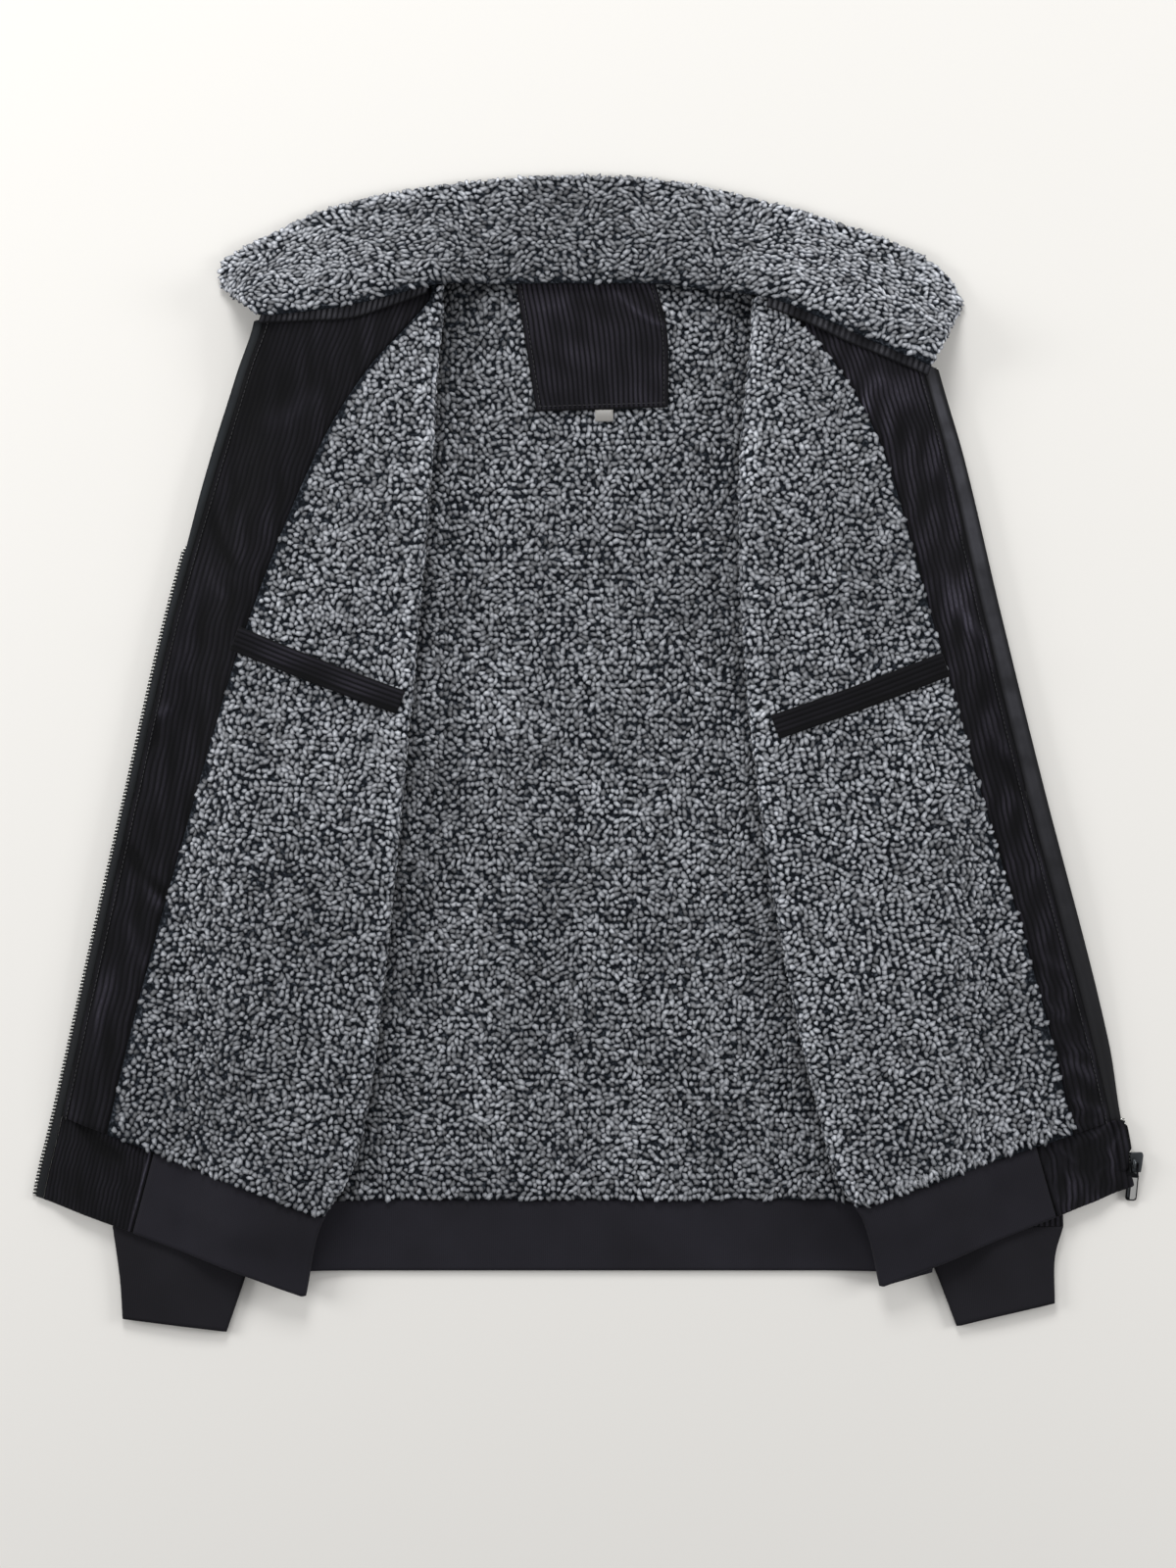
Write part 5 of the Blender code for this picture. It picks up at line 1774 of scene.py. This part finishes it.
def rimOf(grid, out, drop):
    # a strip that turns down round the border of a grid
    ring, away = borderOf(grid), awayFrom(grid)
    turned = ring + away * out * 0.7 - [0, 0, drop * 0.3]
    strip = np.array([ring - away, turned, ring + away * out - [0, 0, drop]])
    return np.concatenate([strip, strip[:, :1]], axis=1)


def collarEdge(kind, at):  # x and y of the neck edge or the free edge
    return [through(collarRows, "at", kind + axis, at) for axis in "XY"]


def makeCollar():
    kinds = ("front_lining_", "facing_", "collar_stand_", "zip_tape_")
    heightAt = topOf(["back_lining", "neck_patch", *[kind + side for side in sides for kind in kinds]])
    coarse, reach = np.linspace(0, collarRows[-1].at, collar["places"]), collar["reach"]
    held = []
    for at in coarse:
        x, y = collarEdge("neck", at)
        held.append(heightAt(x, y + reach / 4, reach) + collar["clear"])
    at, w = acrossSteps(0, collarRows[-1].at, collar["columns"]), downSteps(0, 1, collar["rows"])
    x, y = [between(neck, free, w) for neck, free in zip(collarEdge("neck", at), collarEdge("free", at))]
    down = smooth((w - collar["hold"]) / (1 - collar["hold"]))
    grid = gridOf(x, y, between(np.interp(at, coarse, held), collar["rest"], down))
    narrow = drawnIn(grid, collar["inset"])
    under = clothWall("underCollar", narrow + [0, 0, cloth["shell"]], narrow, "outer", gridUv(narrow))
    laySheet(under, "outer_cloth", narrow)

    top = grid + [0, 0, liningFoot + cloth["pile"] - pileHeight]
    room = collar["creaseRoom"]
    top[..., 2] += creaseRise(["collar"], x, y) * smooth(w / room) * smooth((1 - w) / room)
    base = clothWall("topCollar", top, grid + [0, 0, liningFoot], "backing")
    # painted shade in the middle of the collar and along its neck, painted light along its free edge and
    # towards its right end
    shade = between(collar["middleShade"], 1.0, smooth(np.abs(top[..., 0]) / collar["middleReach"]))
    shade = shade * (1 - collar["neckShade"] * bell(w, collar["neckReach"]))
    shade = shade * (1 + collar["freeLight"] * bell(1 - w, collar["freeReach"]))
    shade = shade * (1 + collar["rightLight"] * top[..., 0] / 200)
    share = smooth((w * collar["width"] - 0.2) / 1.2)
    pile = pileOn("collarPile", top, share, "collarPile", 9, shade, Swirl=4.0, Stretch=(1.1, 0.9, 1.0))
    rim = rimOf(top, collar["rimOut"], collar["rimDrop"])
    free = np.arange(rim.shape[1]) >= collar["columns"] - 1  # the seam along the neck has no rim
    # painted highlight on the curls round the collar's rim
    light = collar["rimLight"]
    rimPile = pileOn("collarRimPile", rim, free, "collarPile", 10, light, Stretch=(0.95, 0.8, 0.6))
    laySheet(base, "sherpa", top, [pile, rimPile])


# The slider and its pull tab

slider = {
    "length": 13.7,
    "width": 9.6,
    "plate": 1.2,
    "foot": 0.2,
    "channelTop": 4.3,
    "postWidth": 2.0,
    "postShort": 5,
    "crownX": 382.0,
    "crownWidth": 2.2,
    "crownThick": 1.1,
    "crownReach": 3.6,
    "crownTop": 10.1,
    "crownSteps": 16,
    "crownSides": 8,
    "axisY": -286.0,
    "axisZ": 7.8,
}
pull = {
    "pin": 1.3,
    "hole": (4.0, 6.6),
    "neck": (6.8, 9.0),
    "body": (8.0, 27.0),
    "thick": 1.3,
    "droop": math.radians(12),
    "askew": math.radians(-4),
}


def extruded(outline, low, high, bevel, name, look):
    # a plate with bevelled edges from an outline of x and y
    mesh = bmesh.new()
    face = mesh.faces.new([mesh.verts.new((x * metre, y * metre, low * metre)) for x, y in outline])
    raised = bmesh.ops.extrude_face_region(mesh, geom=[face])["geom"]
    corners = [part for part in raised if isinstance(part, bmesh.types.BMVert)]
    bmesh.ops.translate(mesh, vec=(0, 0, (high - low) * metre), verts=corners)
    bmesh.ops.recalc_face_normals(mesh, faces=mesh.faces)
    bmesh.ops.bevel(mesh, geom=mesh.edges[:], offset=bevel * metre, segments=2, profile=0.6, affect="EDGES")
    return asPart(mesh, name, look)


def joined(name, parts):
    # several meshes as one, each keeping its material
    mesh = bmesh.new()
    slots = []
    for part in parts:
        material = part.data.materials[0]
        if material not in slots:
            slots.append(material)
        start = len(mesh.faces)
        mesh.from_mesh(part.data)
        mesh.faces.ensure_lookup_table()
        for face in mesh.faces[start:]:
            face.material_index = slots.index(material)
            face.smooth = True
    made = linked(name, bpy.data.meshes.new(name))
    mesh.to_mesh(made.data)
    mesh.free()
    for material in slots:
        made.data.materials.append(material)
    for part in parts:
        bpy.data.objects.remove(part, do_unlink=True)
    return made


def makeCrown():
    # the arch that holds the tab, along y, as a swept bar
    steps, count = slider["crownSteps"], slider["crownSides"]
    wide, thick = slider["crownWidth"] / 2, slider["crownThick"] / 2
    base = slider["channelTop"] + slider["plate"] - 0.2
    ring = []
    for i in range(steps + 1):
        turn = math.pi * i / steps
        rise = math.sin(turn) ** 0.55 if 0 < i < steps else 0
        y = slider["axisY"] - slider["crownReach"] * math.cos(turn)
        z = between(base, slider["crownTop"] - thick, rise)
        for j in range(count):
            angle = math.tau * j / count
            ring.append((slider["crownX"] + wide * math.cos(angle), y, z + thick * math.sin(angle)))
    ends = [list(range(count)), list(range(len(ring) - 1, len(ring) - 1 - count, -1))]
    return cleaned(asMesh("crown", ring, quads(0, steps + 1, count, True) + ends, materials["slider"]))


def makeSlider():
    x, y = sliderPlace["x"], sliderPlace["y"]
    foot, plate, top = slider["foot"], slider["plate"], slider["channelTop"]
    halfX, halfY = slider["width"] / 2, slider["length"] / 2
    right = [(0.62, -1), (0.8, -0.3), (1, 0.75), (0.88, 1)]
    shield = right + [(-px, py) for px, py in reversed(right)]
    shield = [(x + px * halfX, y + py * halfY) for px, py in shield]
    post = (slider["postWidth"], slider["length"] - slider["postShort"], top - foot)
    place(joined("zipSlider", [
        extruded(shield, foot, foot + plate, 0.3, "plateLow", "slider"),
        extruded(shield, top, top + plate, 0.35, "plateTop", "slider"),
        bevelledBox("post", post, 0.2, "slider", (x + 1, y, (top + foot + plate) / 2)),
        makeCrown(),
    ]), "slider_metal", "zip_slider")


def makePull():
    # outlines lie flat with the bridge's axis at 0, the tab hanging towards less y
    hole, holeEnd = pull["hole"][0] / 2, pull["hole"][1]
    neck, neckEnd = pull["neck"][0] / 2, pull["neck"][1]
    body, bodyEnd = pull["body"][0] / 2, pull["body"][1]
    pin, thick = pull["pin"] / 2, pull["thick"] / 2
    outline = [(neck, pin), (neck, -holeEnd), (body, -neckEnd), (body, 2 - bodyEnd)]
    outline += [(body - 0.6, 0.6 - bodyEnd), (body - 2, -bodyEnd)]
    outline += [(-px, py) for px, py in reversed(outline)]
    plate = extruded(outline, -thick, thick, 0.25, "tabPlate", "pullRim")
    eye = (0, -(holeEnd + pin) / 2, 0)
    cutter = bevelledBox("tabSlot", (2 * hole, holeEnd - pin, 4), 0.01, "pullRim", eye)
    cut = plate.modifiers.new("slot", "BOOLEAN")
    cut.operation = "DIFFERENCE"
    cut.solver = "EXACT"
    cut.object = cutter
    mesh = bpy.data.meshes.new_from_object(plate.evaluated_get(bpy.context.evaluated_depsgraph_get()))
    plate.modifiers.remove(cut)
    plate.data = mesh
    bpy.data.objects.remove(cutter, do_unlink=True)
    panel = [(body - 0.9, -neckEnd - 1.0), (body - 0.9, 2.4 - bodyEnd), (body - 2.0, 1.1 - bodyEnd)]
    panel += [(-0.9, 1.1 - bodyEnd), (-0.9, -neckEnd - 1.0)]
    bright = extruded(panel, thick - 0.1, thick + 0.25, 0.12, "tabPanel", "pull")
    strip = [(-1.7, -neckEnd - 1.6), (-1.7, 2.2 - bodyEnd), (-2.9, 3.0 - bodyEnd), (-2.9, -neckEnd - 1.6)]
    dull = extruded(strip, thick - 0.1, thick + 0.12, 0.06, "tabStrip", "slider")
    made = joined("zipPull", [plate, bright, dull])
    axis = Matrix.Translation(Vector((slider["crownX"], slider["axisY"], slider["axisZ"])) * metre)
    made.data.transform(axis @ Euler((pull["droop"], 0, pull["askew"])).to_matrix().to_4x4())
    place(made, "zip_metal", "zip_pull", body=pullBody)


# Putting it together

makeBack()
makePatch()
makeSizeTab()
print("back made")
tooth = bevelledBox("tooth", zipSizes["toothSize"], zipSizes["toothBevel"], "teeth")
for side in sides:
    makeSleeve(side)
    makeFrontCloth(side)
    makeFacing(side)
    makeBlock(side)
    makeZipSide(side, tooth)
    makeWelt(side)
    makeStand(side)
    print("front " + side + " made")
makeCollar()
makeSlider()
makePull()

stitching = {"pitch": 3.4, "size": (2.5, 0.5, 0.4), "bevel": 0.15}
stitch = bevelledBox("stitch", stitching["size"], stitching["bevel"], "thread")
place(alongPaths("stitches", stitchPaths, stitch, stitching["pitch"], "thread"), "corduroy")
for spare in (*tuftShapes, tooth, stitch):
    bpy.data.objects.remove(spare, do_unlink=True)
print(f"pile in all: {sum(pileTriangles)} triangles")

# Floor, light and camera

stage = {
    "floorColour": "#e6e4e0",
    "floorHalf": 3000,
    "floorZ": -0.5,
    "skyColour": "#ffffff",
    "skyStrength": 0.42,
    "viewMm": 1096,
    "centreY": -20.55,
    "focusZ": 9,
    "lens": 90,
}
# Soft boxes, in metres and watts
SoftBox = namedtuple("SoftBox", "name where size power")
softBoxes = [
    SoftBox("topBox", (-0.3, 1.9, 1.5), 0.9, 30),
    SoftBox("leftBox", (-1.9, 0.2, 1.0), 0.8, 19),
    SoftBox("rightBox", (1.9, 0.1, 1.0), 0.8, 17),
]


def makeStage():
    half = stage["floorHalf"]
    corners = [(x * half, y * half, stage["floorZ"]) for x, y in ((-1, -1), (1, -1), (1, 1), (-1, 1))]
    paint = plainFinish("paintedFloor", stage["floorColour"], 0.8, grainMm=3)
    asMesh("floor", corners, [[0, 1, 2, 3]], paint)
    scene = bpy.context.scene
    scene.world = bpy.data.worlds.new("studio")
    scene.world.use_nodes = True
    sky = {"Color": linear(stage["skyColour"]), "Strength": stage["skyStrength"]}
    setInputs(scene.world.node_tree.nodes["Background"], sky)
    for box in softBoxes:
        light = bpy.data.lights.new(box.name, "AREA")
        light.energy = box.power
        light.size = box.size
        lamp = linked(box.name, light)
        lamp.location = box.where
        lamp.rotation_euler = (-Vector(box.where)).to_track_quat("-Z", "Y").to_euler()
    camera = bpy.data.cameras.new("camera")
    camera.lens = stage["lens"]
    distance = stage["viewMm"] * stage["lens"] / camera.sensor_width + stage["focusZ"]
    scene.camera = linked("camera", camera)
    scene.camera.location = (0, stage["centreY"] * metre, distance * metre)
    scene.view_settings.view_transform = "Standard"


makeStage()
print("stage made")
